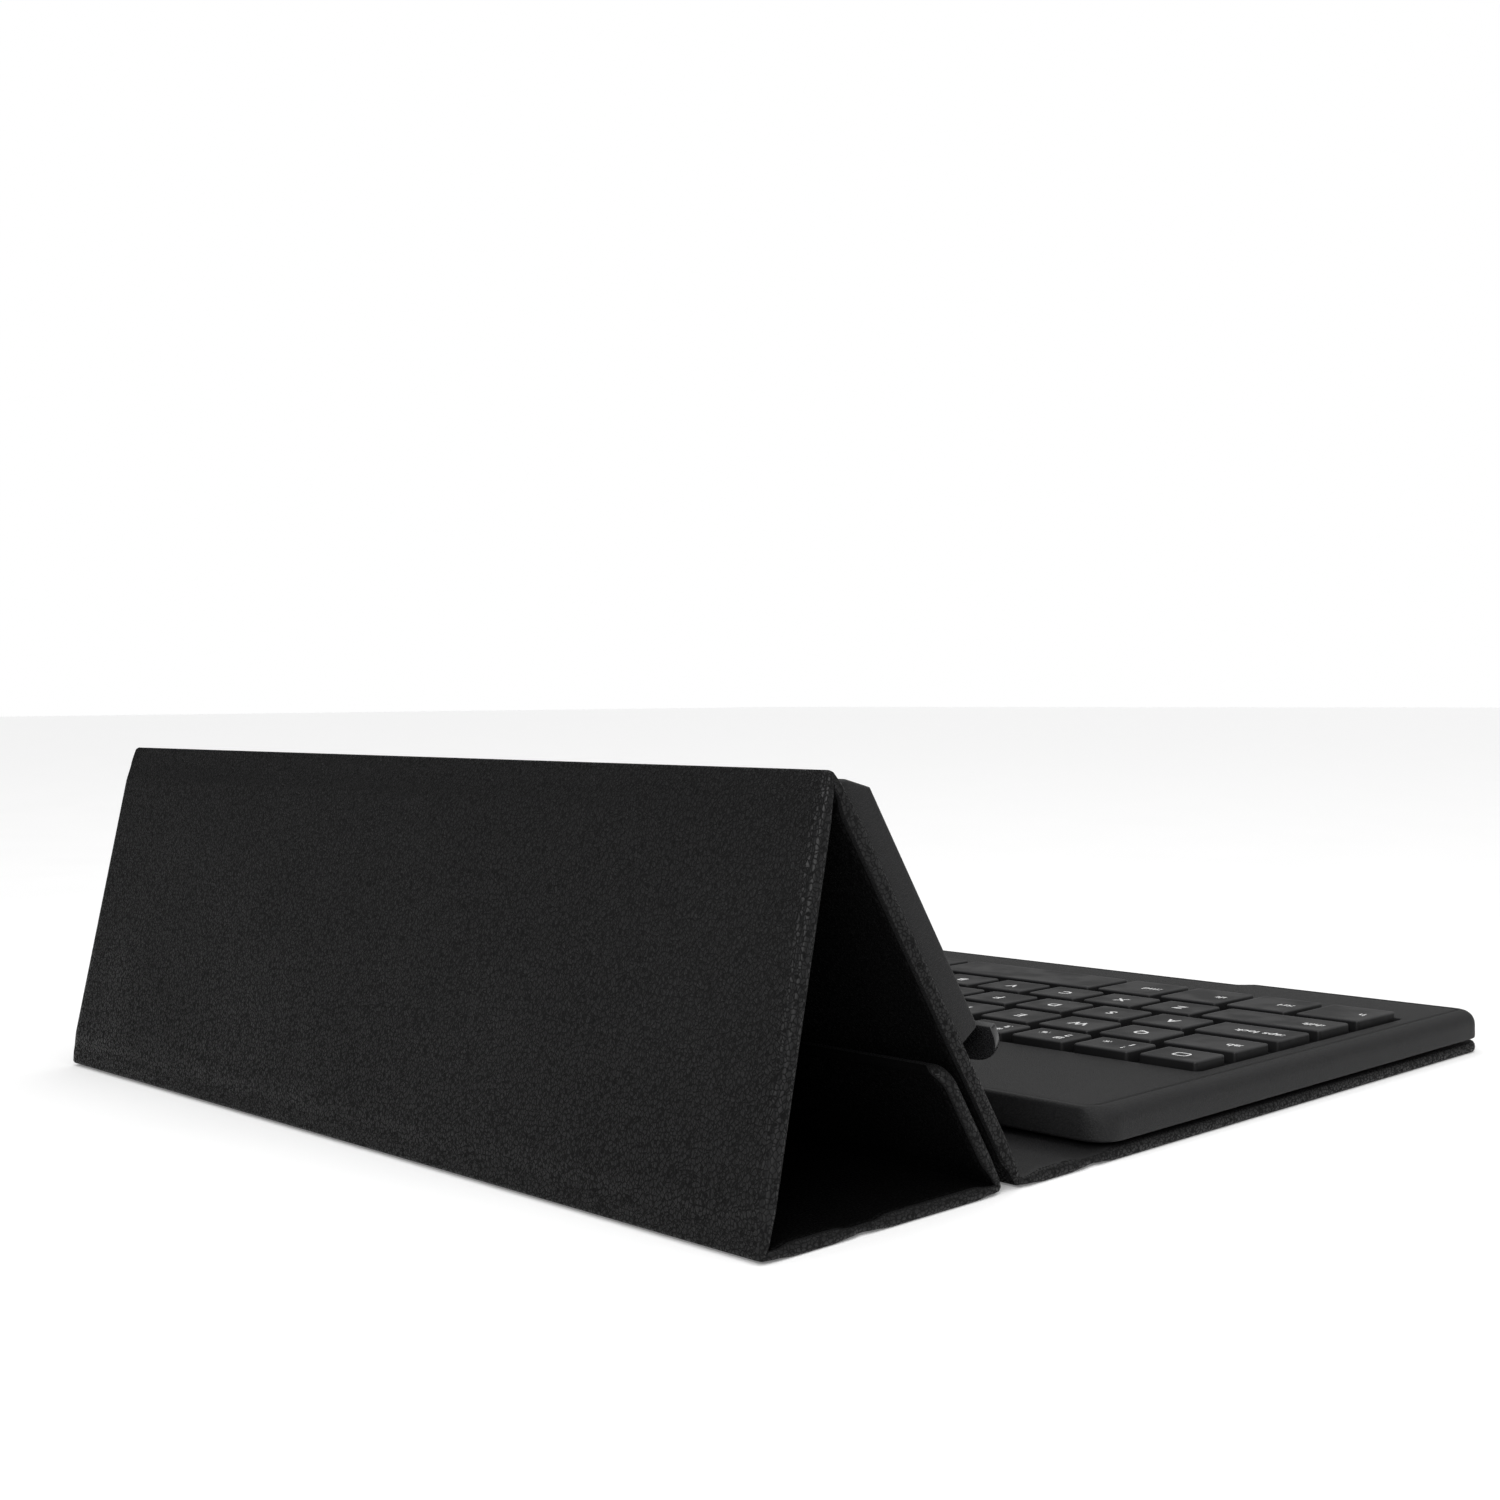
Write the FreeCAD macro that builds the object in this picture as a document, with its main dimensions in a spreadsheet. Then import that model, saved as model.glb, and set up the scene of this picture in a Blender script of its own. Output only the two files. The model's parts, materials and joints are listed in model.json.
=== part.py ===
import FreeCAD, Part
import os

# Tablet keyboard case, standing open on a table.
# +X is the user's right, +Y points away from the user, +Z is up and the table is at Z = 0.
# The front cover lies flat and carries the keyboard. Behind it the spine, the holder (the
# back half that carries the tablet tray), the rear stand and a three-part flap fold into a
# triangle. A fold is a line along X at the middle of the panels' thickness.

DOC = FreeCAD.newDocument("tablet_keyboard_case")

SIZES = {
    # the folio
    "case_width": 212.0,
    "cover_front_y": -111.0,       # front edge of the front cover
    "cover_length": 143.9,         # front edge to the spine fold
    "spine_length": 19.3,          # fold to fold, the thickness of the closed case
    "holder_length": 78.5,         # foot fold to apex fold
    "holder_angle": 57.3,          # slope of the tablet, from the table
    "stand_length": 67.6,          # apex fold to back fold
    "edge_length": 20.0,           # back fold to the flap's own fold
    "tip_length": 24.6,            # last panel of the flap, from its fold to its free end
    "tip_setback": 5.0,            # foot fold to the flap tip's fold
    "floor_panel_thick": 2.2,
    "holder_panel_thick": 2.8,
    "stand_panel_thick": 2.6,
    "edge_round_share": 0.42,      # radius of a panel's wrapped edge, as a share of its thickness
    "tip_corner_round": 5.0,
    "fold_gap": 2.1,               # a panel ends this far from its fold
    "apex_gap": 3.0,
    # the leather strips that join the panels
    "strip_round": 0.9,
    "strip_tab_thick": 0.8,
    "strip_tab_grip": 3.0,
    "strip_inset": 1.0,
    # stiffening boards inside the panels
    "board_inset": 5.0,
    "cover_board_thick": 1.2,
    "holder_board_thick": 1.6,
    "stand_board_thick": 1.4,
    # magnets that hold the flap tip against the holder
    "magnet_long": 14.0,
    "magnet_wide": 5.0,
    "magnet_thick": 1.2,
    "magnet_x": 62.0,
    "magnet_up": 17.0,             # from the flap tip's fold, up the slope
    # the tray round the lower half of the tablet
    "tray_outer_width": 208.8,
    "tray_wall_thick": 3.4,
    "tray_wall_high": 5.6,
    "tray_wall_low_end": 26.2,     # from the foot fold, up the slope
    "tray_wall_top_end": 76.0,
    "tray_wall_top_slope": 4.6,
    "tray_wall_round": 1.2,
    "tray_floor_low": 16.2,
    "tray_floor_thick": 2.4,
    "tray_floor_width": 190.0,
    "pocket_deep": 7.4,            # the tablet's thickness and a little more
    "lip_thick": 1.4,
    "lip_over": 2.0,               # how far the lip reaches over the tablet's face
    "lip_side_over": 2.5,
    "lip_arm_top": 24.0,
    "lip_corner_round": 7.0,
    # the keyboard
    "pad_thick": 0.7,
    "pad_long": 44.0,
    "pad_wide": 14.0,
    "keyboard_rear_gap": 3.0,      # from the spine fold to the keyboard's rear wall
    "keyboard_corner_round": 5.5,
    "case_high": 2.5,
    "case_floor": 1.2,
    "case_rim": 6.0,
    "case_under_round": 0.7,
    "lid_high": 3.5,
    "lid_shoulder_round": 2.8,
    "notch_width": 94.0,           # thumb notch in the front edge
    "notch_deep": 3.0,
    "notch_slope": 4.0,
    "well_margin": 1.0,
    "keys_front_margin": 24.3,
    "bay_wall": 2.5,
    "bay_deep": 2.1,
    # keys
    "key_unit": 15.25,
    "keys_per_row": 13.0,
    "key_gap": 2.35,
    "row_gap": 3.4,
    "number_row_deep": 10.2,
    "letter_row_deep": 12.2,
    "bottom_row_deep": 16.2,
    "key_rise": 1.5,               # keycap tops above the lid
    "key_high": 3.4,
    "key_wall": 1.0,
    "key_edge_cut": 0.3,
    "frame_thick": 0.9,
    "frame_below_lid": 0.8,
    "frame_hole_gap": 0.45,
    # what is under the keys
    "circuit_thick": 0.8,
    "sheet_thick": 0.4,
    "dome_high": 2.2,
    "dome_foot_radius": 3.0,
    "dome_top_radius": 1.8,
    "battery_long": 90.0,
    "battery_wide": 25.0,
    "battery_thick": 3.1,
    # right-hand side of the keyboard
    "socket_y": 14.0,
    "socket_wide": 7.6,
    "socket_high": 2.7,
    "socket_deep": 6.0,
    "socket_shell": 0.4,
    "switch_y": 0.0,
    "switch_slot_long": 8.2,
    "switch_slot_high": 1.7,
    "switch_long": 4.8,
    "switch_high": 1.4,
    "switch_out": 0.7,
    "switch_in": 2.6,
    "screw_radius": 1.1,
    "screw_head_radius": 1.9,
    "screw_head_high": 0.8,
    "screw_long": 4.6,
    "screw_from_side": 3.1,
}


def fill_sheet(sheet):
    """One row per size: its name in column A, its value in column B under the same alias."""
    for row, (name, value) in enumerate(SIZES.items(), start=1):
        sheet.set("A%d" % row, name)
        sheet.set("B%d" % row, str(value))
        sheet.setAlias("B%d" % row, name)


SHEET = DOC.addObject("Spreadsheet::Sheet", "Sizes")
fill_sheet(SHEET)
DOC.recompute()


def sized(text):
    """A formula in the sizes' own names, made into an expression on the sheet."""
    words = []
    word = ""
    for letter in text + " ":
        if letter.isalnum() or letter == "_":
            word += letter
            continue
        words.append("Sizes." + word if word in SIZES else word)
        words.append(letter)
        word = ""
    return "(" + "".join(words).strip() + ")"


# ---- Places worked out from the sizes ----

FLOOR_MID = "floor_panel_thick/2"
SPINE_FOLD_Y = "(cover_front_y + cover_length)"
FOOT_FOLD_Y = "(%s + spine_length)" % SPINE_FOLD_Y
APEX_RISE = "(holder_length*sin(holder_angle))"
APEX_Y = "(%s + holder_length*cos(holder_angle))" % FOOT_FOLD_Y
APEX_Z = "(%s + %s)" % (FLOOR_MID, APEX_RISE)
BACK_FOLD_Y = "(%s + sqrt(stand_length^2 - %s^2))" % (APEX_Y, APEX_RISE)
STAND_ANGLE = "(-asin(%s/stand_length))" % APEX_RISE
FLAP_FOLD_Y = "(%s - edge_length)" % BACK_FOLD_Y
TIP_FOLD_Y = "(%s + tip_setback)" % FOOT_FOLD_Y
FLAP_BASE_LENGTH = "(%s - %s)" % (FLAP_FOLD_Y, TIP_FOLD_Y)

CASE_BOTTOM_Z = "(floor_panel_thick + pad_thick)"
LID_BOTTOM_Z = "(%s + case_high)" % CASE_BOTTOM_Z
LID_TOP_Z = "(%s + lid_high)" % LID_BOTTOM_Z
CASE_FLOOR_Z = "(%s + case_floor)" % CASE_BOTTOM_Z
KEYBOARD_LENGTH = "(cover_length - keyboard_rear_gap)"
KEYBOARD_REAR_Y = "(cover_front_y + %s)" % KEYBOARD_LENGTH
KEYS_WIDTH = "(keys_per_row*key_unit)"
KEYS_FRONT_Y = "(cover_front_y + keys_front_margin)"
KEYS_DEEP = "(number_row_deep + 3*letter_row_deep + bottom_row_deep + 4*row_gap)"
KEYS_REAR_Y = "(%s + %s)" % (KEYS_FRONT_Y, KEYS_DEEP)
KEY_TOP_Z = "(%s + key_rise)" % LID_TOP_Z
BAY_FRONT_Y = "(%s + well_margin + bay_wall)" % KEYS_REAR_Y
BAY_REAR_Y = "(%s - case_rim)" % KEYBOARD_REAR_Y
POCKET_FRONT = "(holder_panel_thick/2 + pocket_deep)"


# ---- Helpers ----

def bind(thing, **formulas):
    """Ties each named property of a thing to a formula in the sizes."""
    for name, formula in formulas.items():
        thing.setExpression(name, sized(formula))


def move(thing, x=None, y=None, z=None):
    """Ties a thing's position to formulas."""
    for axis, formula in (("x", x), ("y", y), ("z", z)):
        if formula is not None:
            thing.setExpression("Placement.Base." + axis, sized(formula))


def box(name, size, corner):
    """A box with its three sizes and its lowest corner given as formulas."""
    thing = DOC.addObject("Part::Box", name)
    bind(thing, Length=size[0], Width=size[1], Height=size[2])
    move(thing, *corner)
    return thing


def wide_box(name, width, y_size, z_size, y_low, z_low):
    """A box centred on the middle plane X = 0."""
    return box(name, (width, y_size, z_size), ("-(%s)/2" % width, y_low, z_low))


def upright_cylinder(name, radius, height, place):
    thing = DOC.addObject("Part::Cylinder", name)
    bind(thing, Radius=radius, Height=height)
    move(thing, *place)
    return thing


def cut(name, base, tool):
    thing = DOC.addObject("Part::Cut", name)
    thing.Base = base
    thing.Tool = tool
    return thing


def fuse(name, pieces):
    thing = DOC.addObject("Part::MultiFuse", name)
    thing.Shapes = pieces
    return thing


def group(name, pieces):
    thing = DOC.addObject("Part::Compound", name)
    thing.Links = pieces
    return thing


def size_of(formula):
    """The present value of a formula, for features that take plain numbers."""
    probe = DOC.addObject("Part::Box", "probe")
    move(probe, x=formula)
    probe.recompute()
    value = probe.Placement.Base.x
    DOC.removeObject(probe.Name)
    return value


def treat_edges(kind, name, base, formula, wanted):
    """A Part::Fillet or Part::Chamfer of the base's edges that wanted(edge) picks."""
    thing = DOC.addObject(kind, name)
    thing.Base = base
    size = size_of(formula)
    numbers = [i for i, edge in enumerate(base.Shape.Edges, start=1) if wanted(edge)]
    thing.Edges = [(i, size, size) for i in numbers]
    DOC.recompute()
    base.Visibility = False
    return thing


def along(edge, axis):
    """Whether a straight edge runs along the axis named x, y or z."""
    ends = [vertex.Point for vertex in edge.Vertexes]
    if len(ends) != 2:
        return False
    run = ends[1] - ends[0]
    return abs(abs(getattr(run, axis)) - run.Length) < 1e-6


def middle(edge):
    return edge.BoundBox.Center


PARTS = []


def finish(thing, label):
    """Marks a thing as one of the case's pieces, under the name its file gets."""
    thing.Label = label
    PARTS.append(thing)
    return thing


def lay(thing, fold_y, fold_z, angle):
    """Turns a piece drawn in its panel's own frame and sets it at the panel's first fold.

    In that frame the fold is the X axis, the panel runs along +Y and its middle is Z = 0.
    """
    turn = FreeCAD.Rotation(FreeCAD.Vector(1, 0, 0), 1)
    thing.Placement = FreeCAD.Placement(FreeCAD.Vector(0, 0, 0), turn)
    move(thing, y=fold_y, z=fold_z)
    thing.setExpression("Placement.Rotation.Angle", sized(angle))
    return thing


PANELS = {
    "spine": (SPINE_FOLD_Y, FLOOR_MID, "0"),
    "holder": (FOOT_FOLD_Y, FLOOR_MID, "holder_angle"),
    "stand": (APEX_Y, APEX_Z, STAND_ANGLE),
    "edge": (BACK_FOLD_Y, FLOOR_MID, "180"),
    "flap": (FLAP_FOLD_Y, FLOOR_MID, "180"),
    "tip": (TIP_FOLD_Y, FLOOR_MID, "holder_angle"),
}


# ---- Folio panels, boards, fold strips and magnets ----

def padded_slab(name, thick, y_low, y_high):
    """A panel's leather-wrapped slab with all its edges rounded."""
    block = wide_box(name + "_block", "case_width", "%s - (%s)" % (y_high, y_low), thick,
                     y_low, "-%s/2" % thick)
    DOC.recompute()
    return treat_edges("Part::Fillet", name + "_slab", block, "edge_round_share*" + thick,
                       lambda edge: True)


def board(name, thick, y_low, y_high):
    """The stiff board inside a panel."""
    sheet = wide_box(name + "_sheet", "case_width - 2*board_inset",
                     "%s - (%s) - 2*board_inset" % (y_high, y_low), thick,
                     "%s + board_inset" % y_low, "-%s/2" % thick)
    return group(name, [sheet])


def fold_strip(name, fold, gap):
    """The strip at a panel's far fold: a bead on the fold and a tab held by the panel."""
    bead = DOC.addObject("Part::Cylinder", name + "_bead")
    bind(bead, Radius="strip_round", Height="case_width - 2*strip_inset")
    bead.Placement = FreeCAD.Placement(FreeCAD.Vector(0, 0, 0),
                                       FreeCAD.Rotation(FreeCAD.Vector(0, 1, 0), 90))
    move(bead, x="-case_width/2 + strip_inset", y=fold)
    tab = wide_box(name + "_tab", "case_width - 2*strip_inset", "%s + strip_tab_grip" % gap,
                   "strip_tab_thick", "%s - %s - strip_tab_grip" % (fold, gap),
                   "-strip_tab_thick/2")
    return fuse(name, [bead, tab])


def magnets(name, y_middle, z_low):
    """Two flat magnets, left and right, in a panel's own frame."""
    pair = []
    for side, sign in (("left", "-"), ("right", "")):
        pair.append(box("%s_%s" % (name, side), ("magnet_long", "magnet_wide", "magnet_thick"),
                        ("%smagnet_x - magnet_long/2" % sign,
                         "%s - magnet_wide/2" % y_middle, z_low)))
    return group(name, pair)


def panel(key, label, thick, length, near_gap, far_gap, strip_label=None, board_thick=None,
          board_label=None):
    """One folding panel with its board and the strip at its far fold, laid in place.

    What fills a hollow is built twice: once as the tool that cuts it, in the panel's own
    frame, and once as the piece that is laid there.
    """
    y_low = near_gap
    y_high = "(%s - %s)" % (length, far_gap)
    skin = padded_slab(key, thick, y_low, y_high)
    if board_thick:
        space = board(key + "_board_space", board_thick, y_low, y_high)
        skin = cut(key + "_hollow", skin, space)
        inner = board(key + "_board", board_thick, y_low, y_high)
        finish(lay(inner, *PANELS[key]), board_label)
    if strip_label:
        space = fold_strip(key + "_strip_space", length, far_gap)
        skin = cut(key + "_slotted", skin, space)
        strip = fold_strip(key + "_strip", length, far_gap)
        finish(lay(strip, *PANELS[key]), strip_label)
    finish(lay(skin, *PANELS[key]), label)
    return skin


def front_cover():
    """The flat front cover, which lies on the table and carries the keyboard."""
    slab = padded_slab("cover", "floor_panel_thick", "cover_front_y",
                       "(%s - fold_gap)" % SPINE_FOLD_Y)
    inner = [board(name, "cover_board_thick", "cover_front_y", "(%s - fold_gap)" % SPINE_FOLD_Y)
             for name in ("cover_board", "cover_board_space")]
    strips = [fold_strip(name, SPINE_FOLD_Y, "fold_gap")
              for name in ("cover_strip", "cover_strip_space")]
    skin = cut("cover_slotted", cut("cover_hollow", slab, inner[1]), strips[1])
    for thing, label in ((skin, "front_cover_panel"), (inner[0], "front_cover_board"),
                         (strips[0], "spine_fold_strip")):
        move(thing, z=FLOOR_MID)
        finish(thing, label)


def holder_back():
    """The back half that carries the tray: skin, board and the magnets let into the board."""
    y_low = "fold_gap"
    y_high = "(holder_length - apex_gap)"
    magnet_y = "(magnet_up + tip_setback*cos(holder_angle))"
    slab = padded_slab("holder", "holder_panel_thick", y_low, y_high)
    space = board("holder_board_space", "holder_board_thick", y_low, y_high)
    strip_space = fold_strip("holder_strip_space", "holder_length", "apex_gap")
    skin = cut("holder_slotted", cut("holder_hollow", slab, space), strip_space)
    sheet = cut("holder_board", board("holder_board_whole", "holder_board_thick", y_low, y_high),
                magnets("holder_magnet_space", magnet_y, "-holder_board_thick/2"))
    pair = magnets("holder_magnet", magnet_y, "-holder_board_thick/2")
    strip = fold_strip("holder_strip", "holder_length", "apex_gap")
    for thing, label in ((skin, "holder_back_panel"), (sheet, "holder_board"),
                         (pair, "holder_magnets"), (strip, "apex_fold_strip")):
        finish(lay(thing, *PANELS["holder"]), label)


def flap_tip():
    """The flap's last panel, with rounded free corners and two magnets."""
    thick = "floor_panel_thick"
    block = wide_box("tip_block", "case_width", "tip_length - fold_gap", thick, "fold_gap",
                     "-%s/2" % thick)
    DOC.recompute()
    free_end = size_of("tip_length")
    cornered = treat_edges("Part::Fillet", "tip_cornered", block, "tip_corner_round",
                           lambda edge: along(edge, "z") and abs(middle(edge).y - free_end) < 0.01)
    slab = treat_edges("Part::Fillet", "tip_slab", cornered, "edge_round_share*" + thick,
                       lambda edge: not along(edge, "z"))
    skin = cut("tip_hollow", slab, magnets("tip_magnet_space", "magnet_up", "-magnet_thick/2"))
    finish(lay(skin, *PANELS["tip"]), "flap_tip_panel")
    finish(lay(magnets("tip_magnet", "magnet_up", "-magnet_thick/2"), *PANELS["tip"]),
           "flap_tip_magnets")


def folio():
    """Every panel of the folio, from the user's side round to the flap's free end."""
    front_cover()
    panel("spine", "spine_panel", "floor_panel_thick", "spine_length", "fold_gap", "fold_gap",
          "foot_fold_strip")
    holder_back()
    panel("stand", "rear_stand_panel", "stand_panel_thick", "stand_length", "apex_gap",
          "fold_gap", "back_fold_strip", "stand_board_thick", "rear_stand_board")
    panel("edge", "flap_edge_panel", "floor_panel_thick", "edge_length", "fold_gap", "fold_gap",
          "flap_fold_strip")
    panel("flap", "flap_base_panel", "floor_panel_thick", FLAP_BASE_LENGTH, "fold_gap",
          "fold_gap", "tip_fold_strip")
    flap_tip()


# ---- Tablet tray, drawn in the holder's frame ----

def tray_side_wall(side, x_low):
    """A side wall: open above, ended short of the bottom corner for the headphone plug."""
    name = "tray_%s" % side
    wall = box(name + "_block",
               ("tray_wall_thick", "tray_wall_top_end - tray_wall_low_end", "tray_wall_high"),
               (x_low, "tray_wall_low_end", "holder_panel_thick/2"))
    DOC.recompute()
    top = size_of("tray_wall_top_end")
    front = size_of("holder_panel_thick/2 + tray_wall_high")
    sloped = treat_edges("Part::Chamfer", name + "_sloped", wall, "tray_wall_top_slope",
                         lambda edge: abs(middle(edge).y - top) < 0.01
                         and abs(middle(edge).z - front) < 0.01)
    smooth = treat_edges("Part::Fillet", name + "_smooth", sloped, "tray_wall_round",
                         lambda edge: along(edge, "y") and abs(middle(edge).z - front) < 0.01)
    finish(lay(smooth, *PANELS["holder"]), "tray_%s_wall" % side)


def rounded_plate(name, width, y_low, y_high, radius, thick, z_low):
    """A plate across the tray whose two lower corners are round."""
    plate = wide_box(name + "_block", width, "%s - (%s)" % (y_high, y_low), thick, y_low, z_low)
    DOC.recompute()
    low = size_of(y_low)
    return treat_edges("Part::Fillet", name, plate, radius,
                       lambda edge: along(edge, "z") and abs(middle(edge).y - low) < 0.01)


def tray_bottom_channel():
    """The tray's bottom wall and the front lip that wraps both bottom corners."""
    floor = wide_box("channel_floor", "tray_floor_width", "tray_floor_thick", "pocket_deep",
                     "tray_floor_low", "holder_panel_thick/2")
    outer = rounded_plate("lip_outer", "tray_outer_width", "tray_floor_low", "lip_arm_top",
                          "lip_corner_round", "lip_thick", POCKET_FRONT)
    window = rounded_plate("lip_window",
                           "(tray_outer_width - 2*tray_wall_thick - 2*lip_side_over)",
                           "(tray_floor_low + tray_floor_thick + lip_over)",
                           "(lip_arm_top + lip_corner_round)",
                           "(lip_corner_round - lip_over - lip_side_over)",
                           "lip_thick + 2", "%s - 1" % POCKET_FRONT)
    channel = fuse("channel", [floor, cut("lip", outer, window)])
    finish(lay(channel, *PANELS["holder"]), "tray_bottom_channel")


def tray():
    tray_side_wall("left", "-tray_outer_width/2")
    tray_side_wall("right", "tray_outer_width/2 - tray_wall_thick")
    tray_bottom_channel()


# ---- Keyboard housing ----

def outline_block(name, inset, z_low, high):
    """A block on the keyboard's outline, drawn in by an inset, with round corners."""
    width = "(case_width - 2*(%s))" % inset
    block = wide_box(name + "_block", width, "%s - 2*(%s)" % (KEYBOARD_LENGTH, inset), high,
                     "cover_front_y + (%s)" % inset, z_low)
    DOC.recompute()
    radius = "keyboard_corner_round - (%s)/2" % inset
    return treat_edges("Part::Fillet", name + "_rounded", block, radius,
                       lambda edge: along(edge, "z"))


def thumb_notch(name):
    """What the thumb notch takes from the middle of the keyboard's front edge."""
    block = wide_box(name + "_block", "notch_width", "3*notch_deep", "case_high + lid_high + 2",
                     "cover_front_y - 2*notch_deep", "%s - 1" % CASE_BOTTOM_Z)
    DOC.recompute()
    rear = size_of("cover_front_y + notch_deep")
    return treat_edges("Part::Chamfer", name, block, "notch_slope",
                       lambda edge: along(edge, "z") and abs(middle(edge).y - rear) < 0.01)


def side_port(name, y_middle, wide, z_low, high, deep):
    """The space of a port in the housing's right side."""
    return box(name, (deep, wide, high), ("case_width/2 - (%s)" % deep,
                                          "%s - (%s)/2" % (y_middle, wide), z_low))


def socket_space(name):
    return side_port(name, "socket_y", "socket_wide", CASE_FLOOR_Z, "socket_high",
                     "socket_deep")


def switch_space(name):
    return side_port(name, "switch_y", "switch_slot_long",
                     "%s - switch_slot_high/2" % LID_BOTTOM_Z, "switch_slot_high",
                     "switch_in + 0.3")


SCREW_PLACES = [(side, share) for side in ("-", "") for share in ("0.14", "0.42", "0.70")]


def screw_spot(side, share):
    """Where a screw stands: near a long side, at a share of the keyboard's length."""
    x = "%s(case_width/2 - screw_from_side)" % side
    y = "cover_front_y + %s*%s" % (share, KEYBOARD_LENGTH)
    return x, y


def screws(name):
    """Six countersunk screws, put in from below."""
    pieces = []
    for number, (side, share) in enumerate(SCREW_PLACES):
        x, y = screw_spot(side, share)
        part_name = "%s_%d" % (name, number)
        head = upright_cylinder(part_name + "_head", "screw_head_radius", "screw_head_high",
                                (x, y, CASE_BOTTOM_Z))
        shank = upright_cylinder(part_name + "_shank", "screw_radius", "screw_long",
                                 (x, y, CASE_BOTTOM_Z))
        pieces.append(fuse(part_name, [head, shank]))
    return group(name, pieces)


def keyboard_case():
    """The shallow lower shell."""
    outer = outline_block("case_outer", "0", CASE_BOTTOM_Z, "case_high")
    low = size_of(CASE_BOTTOM_Z)
    soft = treat_edges("Part::Fillet", "case_soft", outer, "case_under_round",
                       lambda edge: edge.BoundBox.ZMax < low + 0.01)
    cavity = outline_block("case_cavity", "case_rim", CASE_FLOOR_Z, "case_high")
    shell = cut("case_shell", soft, cavity)
    notched = cut("case_notched", shell, thumb_notch("case_notch"))
    ported = cut("case_ported", notched, socket_space("case_socket_space"))
    slotted = cut("case_slotted", ported, switch_space("case_switch_space"))
    finish(cut("keyboard_case", slotted, screws("case_screw_space")), "keyboard_bottom_case")


def keyboard_lid():
    """The leather-wrapped upper shell, with the key well and the battery bay."""
    outer = outline_block("lid_outer", "0", LID_BOTTOM_Z, "lid_high")
    notched = cut("lid_notched", outer, thumb_notch("lid_notch"))
    DOC.recompute()
    top = size_of(LID_TOP_Z)
    soft = treat_edges("Part::Fillet", "lid_soft", notched, "lid_shoulder_round",
                       lambda edge: edge.BoundBox.ZMin > top - 0.01)
    well = wide_box("key_well", "%s + 2*well_margin" % KEYS_WIDTH,
                    "%s + 2*well_margin" % KEYS_DEEP, "lid_high + 2",
                    "%s - well_margin" % KEYS_FRONT_Y, "%s - 1" % LID_BOTTOM_Z)
    bay = wide_box("battery_bay", "case_width - 2*case_rim",
                   "%s - %s" % (BAY_REAR_Y, BAY_FRONT_Y), "bay_deep", BAY_FRONT_Y, LID_BOTTOM_Z)
    shape = cut("lid_well", soft, well)
    for name, tool in (("lid_bay", bay), ("lid_ported", socket_space("lid_socket_space")),
                       ("lid_slotted", switch_space("lid_switch_space")),
                       ("lid_screwed", screws("lid_screw_space"))):
        shape = cut(name, shape, tool)
    finish(shape, "keyboard_lid")


def mounting_pads():
    """Four adhesive pads between the front cover and the keyboard."""
    pads = []
    for row, y in (("front", "cover_front_y + 16"), ("rear", "%s - 30" % KEYBOARD_REAR_Y)):
        for side, x in (("left", "-84"), ("right", "84 - pad_long")):
            pads.append(box("pad_%s_%s" % (row, side), ("pad_long", "pad_wide", "pad_thick"),
                            (x, y, "floor_panel_thick")))
    finish(group("pads", pads), "keyboard_mounting_pads")


def charging_socket():
    """A small metal socket with its mouth in the housing's right side."""
    shell = socket_space("socket_block")
    mouth = side_port("socket_mouth", "socket_y", "socket_wide - 2*socket_shell",
                      "%s + socket_shell" % CASE_FLOOR_Z, "socket_high - 2*socket_shell",
                      "socket_deep - socket_shell")
    finish(cut("socket", shell, mouth), "charging_socket")


def power_switch():
    """A sliding knob that stands a little out of the right side."""
    knob = box("switch_block", ("switch_in + switch_out", "switch_long", "switch_high"),
               ("case_width/2 - switch_in",
                "switch_y - switch_slot_long/2 + 0.2",
                "%s - switch_high/2" % LID_BOTTOM_Z))
    DOC.recompute()
    face = size_of("case_width/2 + switch_out")
    finish(treat_edges("Part::Fillet", "switch", knob, "switch_out*0.6",
                       lambda edge: edge.BoundBox.XMin > face - 0.01), "power_switch")


def circuit_and_battery():
    """The circuit board under the keys and the flat battery behind them."""
    finish(wide_box("circuit", "%s - 2" % KEYS_WIDTH, KEYS_DEEP, "circuit_thick",
                    KEYS_FRONT_Y, CASE_FLOOR_Z), "circuit_board")
    finish(wide_box("battery", "battery_long", "battery_wide", "battery_thick",
                    "(%s + %s)/2 - battery_wide/2" % (BAY_FRONT_Y, BAY_REAR_Y), CASE_FLOOR_Z),
           "battery_cell")


def keyboard_housing():
    keyboard_case()
    keyboard_lid()
    mounting_pads()
    charging_socket()
    power_switch()
    circuit_and_battery()
    finish(screws("screw"), "case_screws")


# ---- Keys ----

# Each row runs from the user's left; a key is (name, width in key units).
NUMBER_ROW = [("home", 1)] + [(digit, 1) for digit in "1234567890"] + [("dash", 1), ("equals", 1)]
UPPER_ROW = [("tab", 1.25)] + [(letter, 1) for letter in "qwertyuiop"] + [("backspace", 1.75)]
MIDDLE_ROW = ([("caps_lock", 1.45)] + [(letter, 1) for letter in "asdfghjkl"]
              + [("apostrophe", 1), ("enter", 1.55)])
LOWER_ROW = ([("left_shift", 2)] + [(letter, 1) for letter in "zxcvbnm"]
             + [("comma", 1), ("period", 1), ("slash", 1), ("right_shift", 1)])
BOTTOM_ROW = ([(name, 1.12) for name in ("fn", "ctrl", "alt", "left_command")]
              + [("space", 3.2)]
              + [(name, 1.064) for name in ("right_command", "left", "up", "down", "right")])

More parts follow.
